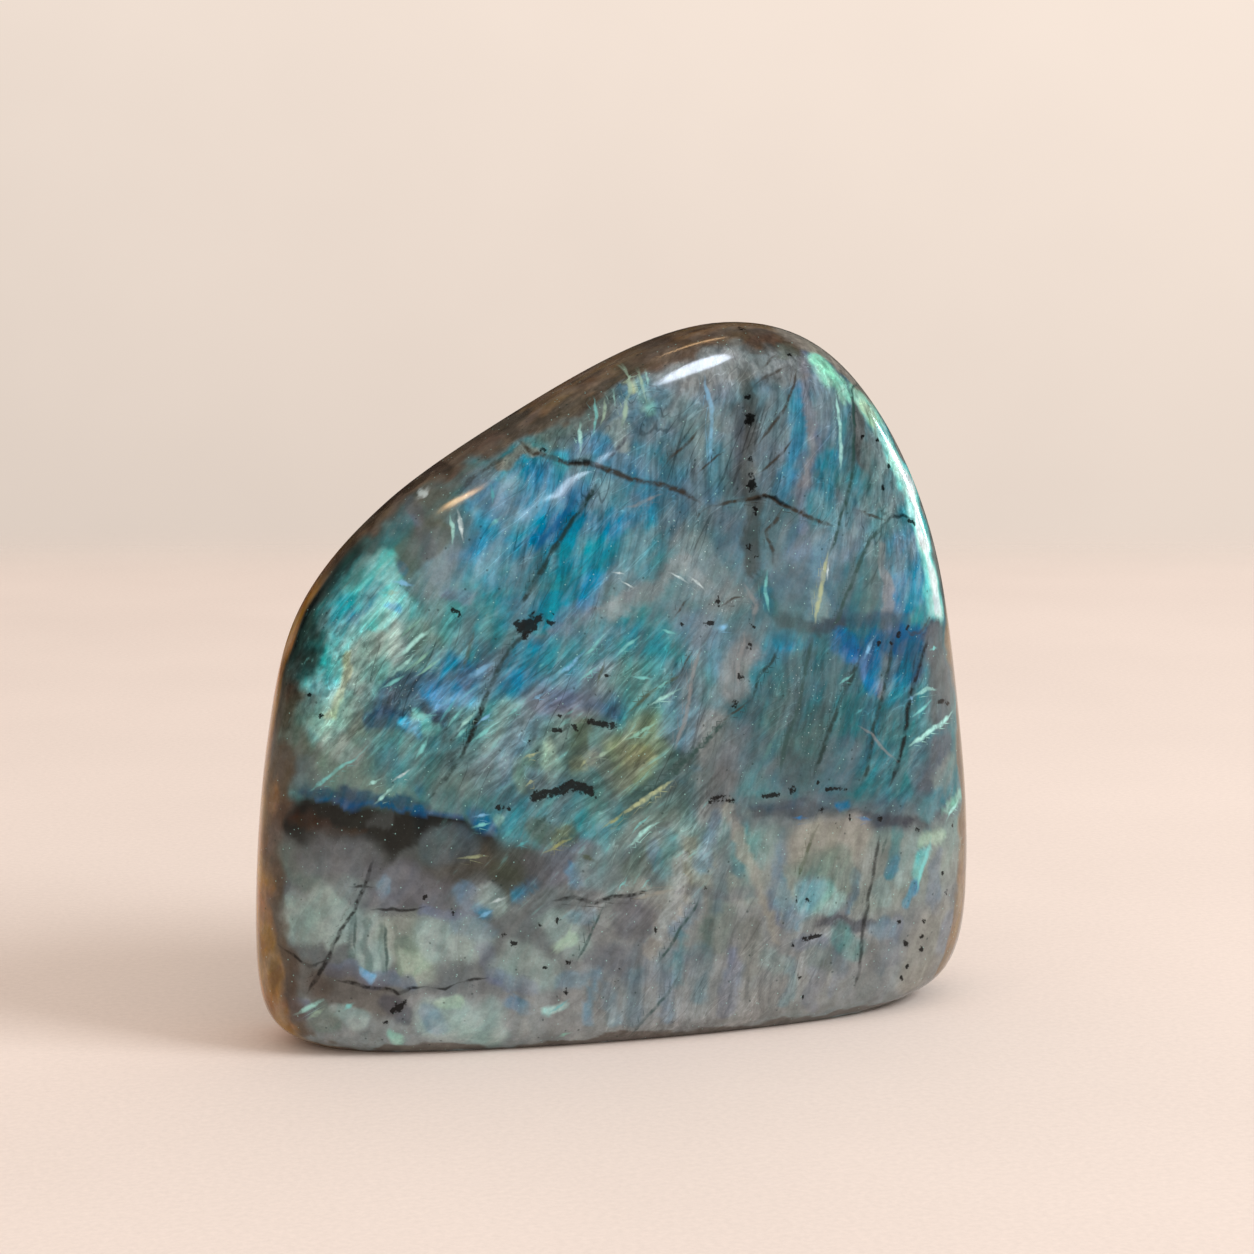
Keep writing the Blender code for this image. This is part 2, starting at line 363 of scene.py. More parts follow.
# %% Brush marks of the front
FRONT_MARKS = [
    # the ground of each zone
    ("teal", 1.0, 70, (0, 50)),
    ("green_teal", 0.9, 13, (-40, 58), (-38, 42)),
    ("slate", 0.9, 13, (6, 84), (8, 70), (13, 62)),
    ("slate", 0.8, 12, (22, 88), (22, 64)),
    ("grey_teal", 0.6, 6, (2, 66), (8, 60), (10, 52)),
    ("dark_teal", 0.9, 10, (20, 46), (27, 42)),
    ("mid_teal", 0.8, 9, (30, 48), (34, 38)),
    ("ash_dark", 0.95, 14, (-46, 20), (-12, 14), (8, 12)),
    ("ash", 0.95, 14, (0, 10), (20, 12), (40, 12)),
    ("slate_pale", 0.35, 5, (-6, 10), (4, 8)),
    ("pearl_warm", 0.6, 7, (0, 27), (12, 26), (34, 22), (44, 24)),
    ("ash", 0.8, 6, (-44, 4), (-20, 3), (10, 4)),
    ("dark_teal", 0.8, 6, (-36, 44), (-28, 44), (-20, 40)),
    ("dark_teal", 0.6, 5, (-2, 38), (6, 36)),
    # left: green and cream under the brown rim
    ("moss_grey", 0.8, 6, (-42, 42), (-37, 40)),
    ("teal", 0.7, 6, (-28, 58), (-24, 63)),
    ("teal", 0.6, 6, (-33, 42), (-27, 45)),
    ("green_teal", 0.7, 6, (-34, 61), (-28, 66)),
    ("grey_teal", 0.7, 4, (-30, 66), (-27, 70)),
    ("cyan", 0.9, 3, (-38, 65), (-43, 56), (-45, 50)),
    ("turquoise", 0.9, 2.2, (-36.5, 66), (-38.5, 63)),
    ("turquoise", 0.8, 1.2, (-35, 68), (-37, 65.5)),
    ("deep_azure", 0.8, 1.0, (-37.5, 62), (-39.5, 59.5)),
    ("azure", 0.5, 1.4, (-38.5, 59), (-40.5, 56.5)),
    ("cyan", 0.8, 2.0, (-42, 58), (-44.5, 53), (-45.5, 49.5)),
    ("lilac", 0.5, 1.4, (-41, 55.5), (-42, 53.5)),
    ("turquoise", 0.7, 2.6, (-34, 60.5), (-37, 58), (-40.5, 54), (-42.5, 50), (-44, 46)),
    ("cream", 0.45, 1.8, (-36, 58), (-40, 53.5), (-42.5, 49), (-43.5, 46)),
    ("pearl", 0.7, 2.8, (-36, 57), (-39, 53)),
    ("cream_gold", 0.5, 0.6, (-40.5, 55), (-42.5, 51), (-43.3, 47)),
    ("turquoise", 0.8, 1.5, (-34.5, 62.5), (-37.5, 59)),
    ("cyan", 0.8, 1.1, (-37, 64), (-40.5, 60.5), (-42.5, 57)),
    ("bright_blue", 0.7, 0.7, (-35.4, 61.4), (-34.4, 61)),
    ("green_teal", 0.8, 2.2, (-37.5, 52), (-38.5, 49.5)),
    ("moss_grey", 0.6, 2, (-41, 48), (-40, 46)),
    ("green_teal", 0.7, 4, (-31, 57), (-29, 53)),
    ("moss_grey", 0.5, 2.2, (-32, 58), (-30, 56)),
    ("navy", 0.8, 1.8, (-36, 50.5), (-31, 51.5)),
    ("violet_grey", 0.9, 2.6, (-36, 48.5), (-31, 48)),
    ("navy", 0.7, 1.6, (-38, 46.2), (-35, 46)),
    ("bright_blue", 0.8, 2.0, (-29.5, 49.5), (-25, 49.5)),
    ("blue", 0.7, 2.6, (-27, 52), (-22, 51)),
    ("lilac", 0.6, 1.2, (-26, 51.5), (-21, 54)),
    ("navy", 0.7, 0.9, (-30.5, 47.2), (-28.8, 46.6)),
    ("aqua", 0.7, 1.0, (-32.5, 46), (-30, 45.5)),
    ("bright_blue", 0.7, 0.8, (-34.5, 45.5), (-32.5, 45.2)),
    ("moss_grey", 0.6, 2.5, (-43, 42), (-41, 40)),
    ("pearl", 0.5, 1.6, (-43, 43.5), (-41, 41)),
    ("mauve", 0.5, 2.4, (-47, 41), (-46, 38)),
    ("dull_teal", 0.6, 2.2, (-29, 38), (-27.5, 42)),
    ("pearl", 0.5, 2.5, (-26.5, 38), (-22, 43), (-19, 48)),
    ("slate_pale", 0.6, 2.2, (-23.5, 38), (-18, 44.5), (-12, 50)),
    # middle: azure windows between the slanting cracks
    ("azure", 0.9, 6, (-21, 69), (-15, 74)),
    ("azure_pale", 0.7, 4, (-24, 71), (-21, 75)),
    ("azure", 0.9, 4.5, (-12, 70), (-8, 73)),
    ("deep_azure", 0.9, 2.4, (-11.5, 69), (-7.5, 74.5)),
    ("deep_azure", 0.8, 2.0, (-17, 68), (-12, 74)),
    ("azure", 0.7, 2.2, (-13, 68), (-9, 68)),
    ("teal_blue", 0.9, 4.0, (-3.5, 80.5), (0, 78)),
    ("teal_blue", 0.8, 3.5, (-4, 76), (1, 74)),
    ("teal", 0.8, 5, (-17, 64), (-9, 65)),
    ("azure", 0.5, 2.5, (-20, 60), (-14, 61)),
    ("blue_teal", 0.7, 4, (-6, 66), (-2, 69)),
    ("slate", 0.6, 2, (-8, 62.5), (-4, 63)),
    ("bright_blue", 0.5, 1.5, (-9.5, 61.5), (-8.5, 63.5)),
    ("slate_pale", 0.7, 3, (-9, 83.5), (-5, 84.5)),
    ("azure_pale", 0.6, 2, (-11, 82), (-7, 82.5)),
    ("olive_grey", 0.7, 3, (-13, 84.5), (-7, 88)),
    ("pearl", 0.7, 1.2, (-4.3, 84.5), (-4.2, 82)),
    ("cream_gold", 0.8, 0.6, (-1.8, 91.5), (-2.4, 89)),
    ("aqua_green", 0.4, 1.0, (-0.5, 90.5), (-0.6, 87.5)),
    ("slate_pale", 0.6, 5, (2, 92), (8, 89)),
    ("grey_teal", 0.7, 3, (4, 87), (7, 84)),
    ("pink_vein", 0.5, 1.3, (4, 66), (0, 63.5), (-6, 60.5), (-12, 57.5), (-18, 55.8)),
    ("milk", 0.30, 3.0, (5.5, 67.5), (9, 62)),
    ("milk", 0.35, 0.8, (4.5, 64.5), (7.5, 63)),
    ("lilac", 0.6, 2, (-13, 58.5), (-10, 60)),
    # centre: blue and lilac, then green gold, with slanting slashes
    ("blue", 0.9, 3.4, (-19, 51.5), (-16, 54)),
    ("azure", 0.6, 2.0, (-19, 53), (-17, 54.5)),
    ("blue_teal", 0.8, 3.5, (-13, 54), (-8, 56)),
    ("slate_pale", 0.7, 3, (-12, 49), (-8, 51)),
    ("lilac", 0.7, 2.5, (-16, 48), (-11, 47)),
    ("grey_teal", 0.8, 2, (-7, 49.5), (-5.5, 51.5)),
    ("indigo", 0.6, 1.3, (-9, 46.3), (-6, 46.5)),
    ("violet_grey", 0.7, 1.6, (-9, 47), (-5.5, 47.5)),
    ("mauve", 0.6, 1.3, (-14.5, 46), (-11, 45.6)),
    ("teal", 0.7, 5, (0, 55), (4, 52)),
    ("green_teal", 0.7, 4, (-2, 50), (3, 46)),
    ("moss_grey", 0.7, 4, (-14, 41.5), (-8, 42)),
    ("gold", 0.7, 4.5, (-4, 40), (-1, 42)),
    ("gold_bright", 0.4, 2.2, (-4, 38.5), (-2, 40.5)),
    ("gold_dark", 0.7, 1.5, (-11.2, 43.5), (-11.5, 40.5)),
    ("gold", 0.3, 1.6, (-18.8, 39.5), (-19, 38)),
    ("cream", 0.5, 1.2, (-15.5, 41.5), (-14, 39)),
    ("cream_gold", 0.5, 0.9, (-11.5, 39.3), (-9.5, 39.8)),
    ("pink_vein", 0.4, 1.2, (-9.5, 40), (-7.5, 39)),
    ("slate_pale", 0.4, 1.4, (-17, 38), (-14, 38)),
    ("dark_teal", 0.6, 2.5, (2, 38), (5, 41)),
    ("deep", 0.8, 1.4, (3.5, 39.8), (5.5, 41)),
    ("slate", 0.7, 3, (4.5, 49), (3.8, 44)),
    ("slate_pale", 0.5, 1.6, (5, 46), (4, 43)),
    ("dull_teal", 0.8, 1.4, (-3.5, 34.6), (-0.5, 36)),
    ("deep", 0.7, 0.8, (-3.3, 34.6), (-1.5, 35.4)),
    ("moss_grey", 0.7, 3, (-2, 32), (1.5, 34)),
    ("green_teal", 0.7, 2.2, (-9, 34.5), (-7, 33)),
    # small patches of the middle
    ("lilac", 0.7, 0.9, (-31, 69), (-31, 74)),
    ("lilac", 0.6, 1.0, (-28, 63.5), (-25, 63)),
    ("bright_blue", 0.5, 0.7, (-34, 66.5)),
    ("blue", 0.5, 0.9, (-32, 37)),
    ("aqua_green", 0.4, 0.9, (-22, 33)),
    ("smoke_soft", 0.5, 0.9, (-12, 37.4), (-8, 37)),
    ("teal", 0.6, 1.0, (-19, 32), (-16, 32)),
    ("gold_dark", 0.6, 1.6, (-16.5, 31), (-12.5, 30)),
    ("gold", 0.5, 0.8, (-15, 29), (-13, 31)),
    ("blue", 0.5, 0.8, (-11.5, 28)),
    ("dark_teal", 0.6, 2.0, (-4, 27), (0, 24)),
    ("azure", 0.5, 0.6, (5.8, 38.6)),
    # right of the pale vein
    ("blue_teal", 0.7, 4, (13, 52), (13.5, 56)),
    ("slate_pale", 0.6, 3.5, (5.8, 56), (10, 54)),
    ("ash", 0.7, 2.5, (12, 53), (12, 50)),
    ("ash", 0.8, 2.8, (8.5, 44), (9, 38), (7.5, 33)),
    ("mauve", 0.5, 2.0, (10, 37), (8, 35)),
    ("slate", 0.6, 2.5, (11.5, 43), (11, 40)),
    # top: near vertical bands
    ("mauve_dark", 0.7, 1.6, (12.5, 86), (12.6, 76)),
    ("smoke_soft", 0.7, 1.2, (14, 90), (14, 75), (14.2, 66)),
    ("blue", 0.4, 1.5, (8.3, 83), (8.3, 76)),
    ("slate_pale", 0.6, 2.0, (17, 87), (17, 82)),
    ("blue_teal", 0.7, 2.0, (18.5, 78), (18, 75)),
    ("azure", 0.8, 1.8, (22, 88), (20.5, 80), (19, 75)),
    ("lilac", 0.8, 0.9, (23, 94), (23.2, 87), (24, 82), (22.2, 76), (21.2, 70)),
    ("pink_vein", 0.5, 0.7, (23.2, 90), (23.6, 83), (22, 76)),
    ("slate_pale", 0.6, 1.6, (25.5, 90), (25.7, 84)),
    ("teal_blue", 0.7, 2.2, (26, 79), (24, 72)),
    ("dark_teal", 0.8, 1.6, (28.8, 84), (28.5, 76)),
    ("aqua_green", 0.9, 1.8, (25.5, 93.3), (27.3, 90.5)),
    ("aqua_green", 0.8, 1.0, (28.5, 90.5), (29.6, 88)),
    ("umber", 0.6, 1.0, (31, 87), (31.2, 80), (32, 75)),
    ("grey_teal", 0.7, 3, (34, 80), (36, 74)),
    ("teal", 0.6, 2.5, (30, 76), (31, 71)),
    ("slate_pale", 0.7, 3.2, (29, 69), (24, 66), (18, 63)),
    ("slate_pale", 0.6, 3.0, (20.5, 65), (21, 60)),
    ("olive_grey", 0.4, 1.6, (32.5, 62), (32, 59)),
    ("mid_teal", 0.6, 2.4, (30, 63), (29, 59)),
    ("blue", 0.9, 2.8, (37.5, 67), (37, 59)),
    ("azure_pale", 0.7, 2.0, (40, 66), (40, 60)),
    ("cyan", 0.7, 1.8, (42.5, 69), (42.8, 60)),
    ("pink_vein", 0.7, 0.8, (34.8, 67), (34.8, 58), (34.5, 54), (34, 47)),
    ("dark_teal", 0.8, 1.0, (15.5, 64), (17, 58)),
    ("teal_blue", 0.7, 0.7, (16, 62), (16, 59)),
    ("pearl", 0.5, 1.0, (24.3, 61), (24.8, 58)),
    # the rib under the right rim: aqua flash, with a painted highlight in its pale aqua and white core
    ("aqua_green", 0.9, 1.9, (32.5, 88), (35, 84)),
    ("cream_gold", 0.4, 0.9, (33, 86), (34.5, 83.5)),
    ("aqua", 0.9, 1.8, (35.5, 82), (39, 77), (41.8, 68), (43.6, 60), (44.3, 56.6)),
    # painted highlight: the pale aqua and white lines along the rib
    ("aqua_pale", 0.95, 1.2, (36.2, 81), (39.5, 75), (42.3, 67), (44, 60), (44.5, 56.6)),
    ("white", 0.95, 0.75, (37, 80), (40, 74.5), (42.6, 66.5), (44.2, 59.5), (44.6, 56.8)),
    # the band of royal blue and the dark teal below it
    ("mauve_dark", 0.7, 1.0, (18, 57.3), (23, 56.2), (27, 56.8)),
    ("violet_grey", 0.6, 1.2, (28, 57.5), (33, 56.5), (38, 56.3)),
    ("teal_blue", 0.8, 1.6, (18, 54.5), (22, 54)),
    ("royal_bright", 0.7, 1.8, (27, 54), (30, 52)),
    ("royal_bright", 0.9, 2.0, (33, 53), (31.5, 50)),
    ("royal", 0.9, 2.4, (36.5, 53.5), (41, 53)),
    ("royal", 0.7, 2.0, (37, 51), (38.5, 49)),
    ("navy", 0.9, 1.2, (42, 54), (43.5, 54.5)),
    ("teal_blue", 0.6, 2.2, (36, 49), (36.5, 46)),
    ("royal_bright", 0.5, 1.6, (31.5, 49.5), (32.5, 48)),
    ("mid_teal", 0.6, 3, (36, 44), (35, 40)),
    ("dull_teal", 0.6, 3.5, (22, 42), (20, 38)),
    ("moss_grey", 0.3, 2.0, (18.5, 46.5), (17, 44)),
    ("slate", 0.5, 3.0, (27.5, 38), (27, 35.5)),
    ("teal", 0.5, 2.0, (34, 37.5), (33, 35)),
    ("grey_teal", 0.4, 2.0, (42, 46), (43, 43)),
    ("mauve", 0.7, 2.4, (44.5, 50), (45.5, 46)),
    ("blue_teal", 0.5, 1.5, (42.5, 52), (44, 52.8)),
    ("mauve", 0.8, 2.8, (44.5, 37.5), (42, 34)),
    ("slate", 0.6, 1.8, (40.8, 38), (40, 35)),
    ("pearl_warm", 0.5, 1.8, (44.5, 33), (46, 35)),
    # the smoky black band and its indigo shore
    ("indigo", 0.6, 1.1, (-46.5, 36.4), (-41, 35.7), (-36, 34.7), (-31, 34.2)),
    ("deep_blue", 0.5, 0.7, (-45, 36.4), (-39, 35.9), (-34, 34.9)),
    ("rust", 0.8, 2.4, (-49.5, 33.5), (-47.5, 32.5)),
    ("smoke_soft", 0.5, 3.9, (-46, 32), (-40, 31.2), (-33, 30.8), (-28, 30.2)),
    ("smoke", 1.0, 3.0, (-46, 32.6), (-41.5, 32.2)),
    ("smoke", 1.0, 2.4, (-42, 32.1), (-37.5, 31.5), (-35.5, 31.2)),
    ("smoke", 0.95, 1.4, (-36, 32.3), (-30.5, 32.4), (-27, 31.6), (-24.5, 29.6)),
    ("royal", 0.55, 0.4, (-45.5, 35.6), (-41, 35.2), (-37, 34.3), (-32, 33.8), (-27, 33.2)),
    ("smoke", 0.8, 1.0, (-48.5, 31), (-44, 30.2), (-40.5, 30.9)),
    ("smoke", 0.7, 0.8, (-47, 29.6), (-45, 29.5)),
    ("smoke", 0.8, 1.7, (-36, 31), (-37, 28.6), (-38, 26.6)),
    ("smoke", 0.6, 0.9, (-38, 27), (-39.3, 25)),
    ("smoke", 0.7, 0.7, (-34.5, 30.2), (-31.5, 31)),
    ("rust", 0.5, 1.1, (-47.5, 32.8), (-44.5, 31.6)),
    ("rust", 0.35, 0.6, (-43, 31), (-39.5, 31.2)),
    ("ash_dark", 0.30, 0.7, (-38.8, 32.6), (-36.8, 33)),
    ("smoke", 0.8, 1.5, (-25.5, 30.5), (-23.5, 28.8)),
    ("royal", 0.6, 1.2, (-25, 33.6), (-23.5, 31.8)),
    ("smoke_soft", 0.8, 2.8, (-24, 27), (-20, 26.5)),
    ("gold_dark", 0.5, 2.0, (-21.5, 25.5), (-20, 24)),
    ("umber", 0.5, 2.0, (-30, 25), (-24, 27.5)),
    # lower left: ash and pearl islands with lilac borders
    ("moss_grey", 0.5, 2.5, (-48, 27), (-46, 25)),
    ("mauve", 0.7, 2.6, (-45, 27.5), (-40, 27)),
    ("slate", 0.6, 2.5, (-30, 29), (-27, 29.6)),
    ("mauve", 0.7, 3.0, (-35, 25), (-31, 23)),
    ("slate_pale", 0.5, 1.0, (-37.5, 23.5), (-36.5, 24.2)),
    ("pearl", 0.9, 3.2, (-47.5, 19), (-43, 21.5)),
    ("pearl", 0.9, 1.6, (-42.5, 18), (-44.5, 16.8)),
    ("pearl", 0.9, 2.6, (-39, 18.5), (-38.5, 14.5)),
    ("pearl_warm", 0.9, 3.4, (-35, 17.5), (-33, 14)),
    ("cream", 0.4, 1.6, (-34, 13.2), (-32, 13.8)),
    ("pearl", 0.9, 3.0, (-30, 16.5), (-26, 16.5)),
    ("slate_pale", 0.6, 1.6, (-27, 18.6), (-24, 17.5)),
    ("moss_grey", 0.6, 1.0, (-34, 16), (-33, 15.5)),
    ("lilac", 0.6, 1.0, (-44, 13), (-41, 12.6), (-38, 11.5), (-34, 11)),
    ("dull_teal", 0.5, 0.5, (-41, 20), (-41.2, 14)),
    ("dull_teal", 0.5, 0.45, (-39, 20), (-39.3, 13)),
    ("dull_teal", 0.45, 0.45, (-37.2, 19), (-37.4, 12.5)),
    ("moss_grey", 0.5, 0.5, (-35.3, 18.5), (-35.3, 12.5)),
    ("lilac", 0.6, 0.8, (-32, 20.2), (-28, 19.6), (-25, 19.8)),
    ("lilac", 0.5, 1.0, (-24, 15), (-22, 10)),
    ("mauve", 0.5, 1.0, (-43.5, 24), (-40.5, 22.5), (-36, 22.4)),
    ("flash", 0.5, 0.5, (-40, 12.8), (-39, 12)),
    ("slate_pale", 0.8, 1.5, (-26.5, 22.5), (-25.5, 21.5)),
    ("pearl", 0.8, 1.6, (-23.5, 22), (-21.5, 21)),
    ("blue", 0.6, 0.8, (-24.2, 20.5), (-23.5, 20)),
    ("blue", 0.6, 1.0, (-19, 22.5), (-18, 23.5)),
    ("mauve", 0.8, 3.0, (-16, 25.5), (-11, 26.5)),
    ("umber", 0.4, 2.0, (-48, 12), (-46, 10)),
    ("umber", 0.5, 3.0, (-44, 10.5), (-38, 8.5)),
    ("mauve_dark", 0.6, 1.6, (-36.5, 8), (-35, 6.5)),
    ("lilac", 0.8, 1.4, (-48, 7), (-47, 5.8)),
    ("pearl", 0.8, 1.5, (-43, 6.5), (-41, 5.8)),
    ("moss_grey", 0.6, 1.6, (-45.5, 6.5), (-44.5, 4.5)),
    ("pearl", 0.9, 3.5, (-30, 5.5), (-24, 4.5)),
    ("cream", 0.6, 1.0, (-29.5, 7.8), (-27.5, 8)),
    ("slate_pale", 0.6, 1.6, (-31, 6), (-30, 4)),
    ("aqua_green", 0.5, 0.9, (-35.8, 2.8), (-35.2, 1.8)),
    ("blue", 0.4, 1.2, (-20, 7), (-18.5, 6)),
    ("pearl", 0.6, 3.0, (-20, 12.5), (-17, 11.5)),
    ("ash", 0.6, 4.0, (-16, 4), (-8, 3)),
    ("aqua_pale", 0.5, 0.7, (-14.6, 6), (-13, 6.8)),
    ("slate_pale", 0.5, 1.0, (-6.8, 8), (-6.2, 3)),
    # lower middle
    ("blue", 0.5, 1.0, (-11.8, 24.5), (-11.5, 23.5)),
    ("grey_teal", 0.7, 2.6, (-9, 25), (-6.5, 24)),
    ("moss_grey", 0.6, 2.0, (-3, 25.5), (-1, 26)),
    ("blue", 0.5, 1.0, (-0.8, 27), (-0.5, 25.5)),
    ("teal", 0.5, 1.4, (0.5, 24.8), (1.5, 28)),
    ("mauve", 0.7, 2.6, (-4, 18.5), (-1, 16)),
    ("pearl", 0.7, 2.2, (-14, 17.5), (-12, 15)),
    ("cream", 0.7, 0.7, (-14.5, 15), (-12.8, 16.2)),
    ("slate_pale", 0.6, 0.8, (-12, 18.6), (-10, 19)),
    ("mauve", 0.6, 2.4, (-9, 13), (-3, 12)),
    ("ash", 0.6, 4.0, (8, 6), (12, 14)),
    ("beige", 0.6, 1.2, (4.5, 28.5), (4, 25), (2.5, 21), (1, 16), (-0.5, 13)),
    ("gold_dark", 0.4, 1.0, (4.8, 29), (3.8, 22.5)),
    ("milk", 0.6, 0.8, (4.2, 26.5), (3, 24), (0.8, 15)),
    ("slate_pale", 0.7, 1.3, (8.2, 31), (7, 25)),
    ("slate_pale", 0.5, 1.1, (5.6, 20.5), (3, 15.5)),
    ("moss_grey", 0.5, 2.5, (9.5, 19), (8.5, 14)),
    ("slate", 0.5, 1.3, (11.5, 31), (10, 24), (9, 19)),
    ("teal", 0.5, 0.8, (13, 30), (12.2, 24)),
    ("blue_teal", 0.5, 0.7, (19.5, 28), (18.8, 22)),
    ("lilac", 0.6, 0.7, (16.8, 20), (17.5, 14)),
    ("teal", 0.5, 1.0, (22.5, 24), (21.5, 18)),
    ("gold_dark", 0.35, 1.2, (25.5, 24), (24.5, 19)),
    ("azure_pale", 0.5, 0.7, (29.5, 22), (28.8, 16)),
    ("teal", 0.55, 0.9, (36.5, 27), (35.5, 21)),
    ("blue_teal", 0.55, 0.8, (41.5, 27), (40.8, 22)),
    ("lilac", 0.5, 0.9, (43.5, 22), (43, 15)),
    ("slate", 0.6, 0.9, (34.2, 14), (33.5, 7)),
    ("lilac", 0.5, 0.9, (28, 12), (27, 5)),
    ("blue_teal", 0.4, 0.8, (20, 10), (19, 4)),
    ("dull_teal", 0.5, 0.7, (8, 17), (7, 11)),
    ("teal", 0.4, 0.9, (4, 15), (2.8, 9)),
    ("azure_pale", 0.4, 0.7, (-9, 10), (-9.4, 4)),
    ("lilac", 0.5, 1.1, (-22, 11), (-18, 9)),
    ("slate_pale", 0.5, 1.0, (-14, 10), (-11, 9.5)),
    ("green_teal", 0.4, 1.6, (14.5, 27), (14, 21)),
    ("beige", 0.7, 0.8, (10, 33), (12, 29.5), (14, 24), (15.5, 19), (17.5, 13)),
    ("mauve", 0.5, 0.9, (3, 21), (8, 20.6), (14, 20.6)),
    ("slate_pale", 0.6, 1.2, (18.5, 26.5), (17.8, 20), (20, 15.5)),
    ("slate", 0.5, 1.4, (6.5, 13), (6, 6)),
    ("lilac", 0.5, 1.3, (11, 12), (10.5, 4)),
    ("slate_pale", 0.5, 1.0, (1.5, 10), (1.2, 3)),
    ("pearl", 0.5, 1.6, (15.5, 10.5), (18.5, 9.5)),
    ("slate", 0.5, 1.5, (-3, 10), (-3.5, 3)),
    ("lilac", 0.4, 1.4, (24, 7), (23, 3.5)),
    ("olive_grey", 0.35, 1.4, (13.5, 15.5), (13, 9)),
    ("olive_grey", 0.35, 1.6, (32, 9.5), (31, 4)),
    ("lilac", 0.4, 1.2, (36.5, 14), (35.5, 8)),
    # purple band and olive field, lower right
    ("mauve", 0.55, 2.4, (13, 32.2), (24, 30.6), (33, 29), (46, 29.2)),
    ("mauve_dark", 0.6, 0.9, (15, 31.6), (20, 31.3), (26, 30)),
    ("mauve_dark", 0.7, 1.1, (29, 29.6), (33, 28.4), (38.5, 28.4)),
    ("mauve_dark", 0.5, 0.6, (38, 28), (42, 28.3), (46.5, 28.8)),
    ("indigo", 0.5, 0.6, (13.5, 32.6), (17, 32.4), (21, 32.6)),
    ("lilac", 0.7, 0.8, (24, 29), (31, 28.6)),
    ("royal_bright", 0.5, 0.5, (26.5, 30.8), (28.5, 30.8)),
    ("beige", 0.9, 3.6, (23, 26.5), (29, 26.3)),
    ("moss_grey", 0.7, 3.0, (23.5, 22.5), (27, 22)),
    ("aqua", 0.3, 2.2, (22, 19), (26, 17.5)),
    ("slate_pale", 0.5, 1.8, (21, 17), (22, 20)),
    ("pearl", 0.6, 1.4, (34, 19.5), (34.5, 17)),
    ("mauve", 0.6, 1.2, (29, 19), (27.5, 15.5)),
    ("pearl", 0.7, 1.8, (38.5, 24.5), (37.5, 20)),
    ("aqua", 0.6, 1.1, (41, 23), (40, 19.5)),
    ("azure_pale", 0.8, 1.0, (39.5, 17.8), (38.8, 16.6)),
    ("cream", 0.8, 1.2, (41, 25.5), (43.5, 25.2)),
    ("blue_teal", 0.6, 0.9, (36, 22.5), (35.5, 21)),
    ("teal", 0.7, 1.6, (42, 29.5), (44, 31)),
    ("aqua_green", 0.6, 0.7, (46, 30.2), (47.5, 30.4)),
    ("aqua_green", 0.5, 0.7, (45.5, 28.6), (47, 29.5)),
    ("mauve_dark", 0.7, 0.9, (25, 14.8), (29, 14.2), (32, 14)),
    ("green_teal", 0.7, 1.8, (28, 12.5), (29.5, 11)),
    ("slate_pale", 0.7, 1.6, (33.5, 12.8), (35, 12.5)),
    ("lilac", 0.5, 1.2, (21.5, 12.5), (25, 12)),
    ("dull_teal", 0.4, 1.8, (24, 10), (27, 9)),
    ("beige", 0.6, 3.5, (40, 6), (43, 12)),
    ("ash", 0.6, 3.5, (34, 8), (30, 5)),
    ("lilac", 0.4, 1.6, (45.5, 12), (44.5, 9)),
    # shadows and veils that lie over several zones
    ("dark_teal", 0.5, 4.0, (24, 52), (22, 46)),
    ("deep_blue", 0.55, 3.2, (33, 51.5), (39, 51)),
    ("deep_blue", 0.4, 2.5, (30, 55), (35, 55.5)),
    ("ash_dark", 0.8, 2.6, (43.8, 53), (44.6, 43)),
    ("deep_azure", 0.35, 3.5, (-29, 52.5), (-26, 50)),
    ("mid_teal", 0.35, 4.0, (-20, 61), (-21, 56)),
    ("teal_blue", 0.4, 4.0, (-4, 69), (-4, 75)),
    ("deep_azure", 0.3, 4.0, (-12, 68), (-10, 66)),
    ("rim_grey", 0.45, 2.6, (6, 92.6), (14, 93), (21.5, 91.5)),
    ("rim_brown", 0.5, 2.2, (-30, 76.5), (-25, 79)),
    ("smoke_soft", 0.3, 4.0, (-45, 31), (-36, 30)),
    ("rim_grey", 0.35, 2.5, (43.5, 6), (40, 4)),
    ("rim_grey", 0.25, 3.0, (12, 4), (26, 5)),
    ("dull_teal", 0.55, 4.0, (20, 62), (19, 58)),
    ("ash_dark", 0.4, 3.0, (12, 60.5), (13, 57)),
    ("dull_teal", 0.55, 4.0, (-14, 37), (-8, 37)),
    ("dull_teal", 0.5, 3.5, (-29, 37.5), (-26, 37)),
    ("dull_teal", 0.45, 4.0, (-3, 36), (5, 36.5)),
    ("mauve", 0.35, 4.0, (19, 36), (23, 35)),
    ("smoke_soft", 0.55, 4.0, (-29, 28), (-20, 26.5)),
    ("ash_dark", 0.4, 3.5, (-45, 28), (-40, 27)),
    ("olive_grey", 0.55, 3.0, (-29, 74), (-27, 72)),
    ("slate_pale", 0.5, 3.5, (-21.5, 75.5), (-19, 74)),
    ("slate_pale", 0.35, 3.5, (-13, 77), (-9, 77)),
    ("ash_dark", 0.35, 5.0, (4, 77), (5, 73)),
    ("ash_dark", 0.40, 4.5, (19, 77), (20, 85)),
    ("ash_dark", 0.30, 4.0, (11, 85), (12, 78)),
    ("slate_pale", 0.5, 3.0, (-29.5, 69), (-27, 66)),
    ("grey_teal", 0.5, 4.0, (34, 71), (36, 67)),
    ("ash", 0.5, 3.5, (4, 92.5), (12, 92)),
    ("violet_grey", 0.35, 4.0, (-22, 52), (-18, 52)),
    ("dark_teal", 0.4, 4.0, (-29, 44), (-27, 43)),
    ("ash_dark", 0.35, 5.0, (8, 37), (12, 40)),
    # brown and olive rims
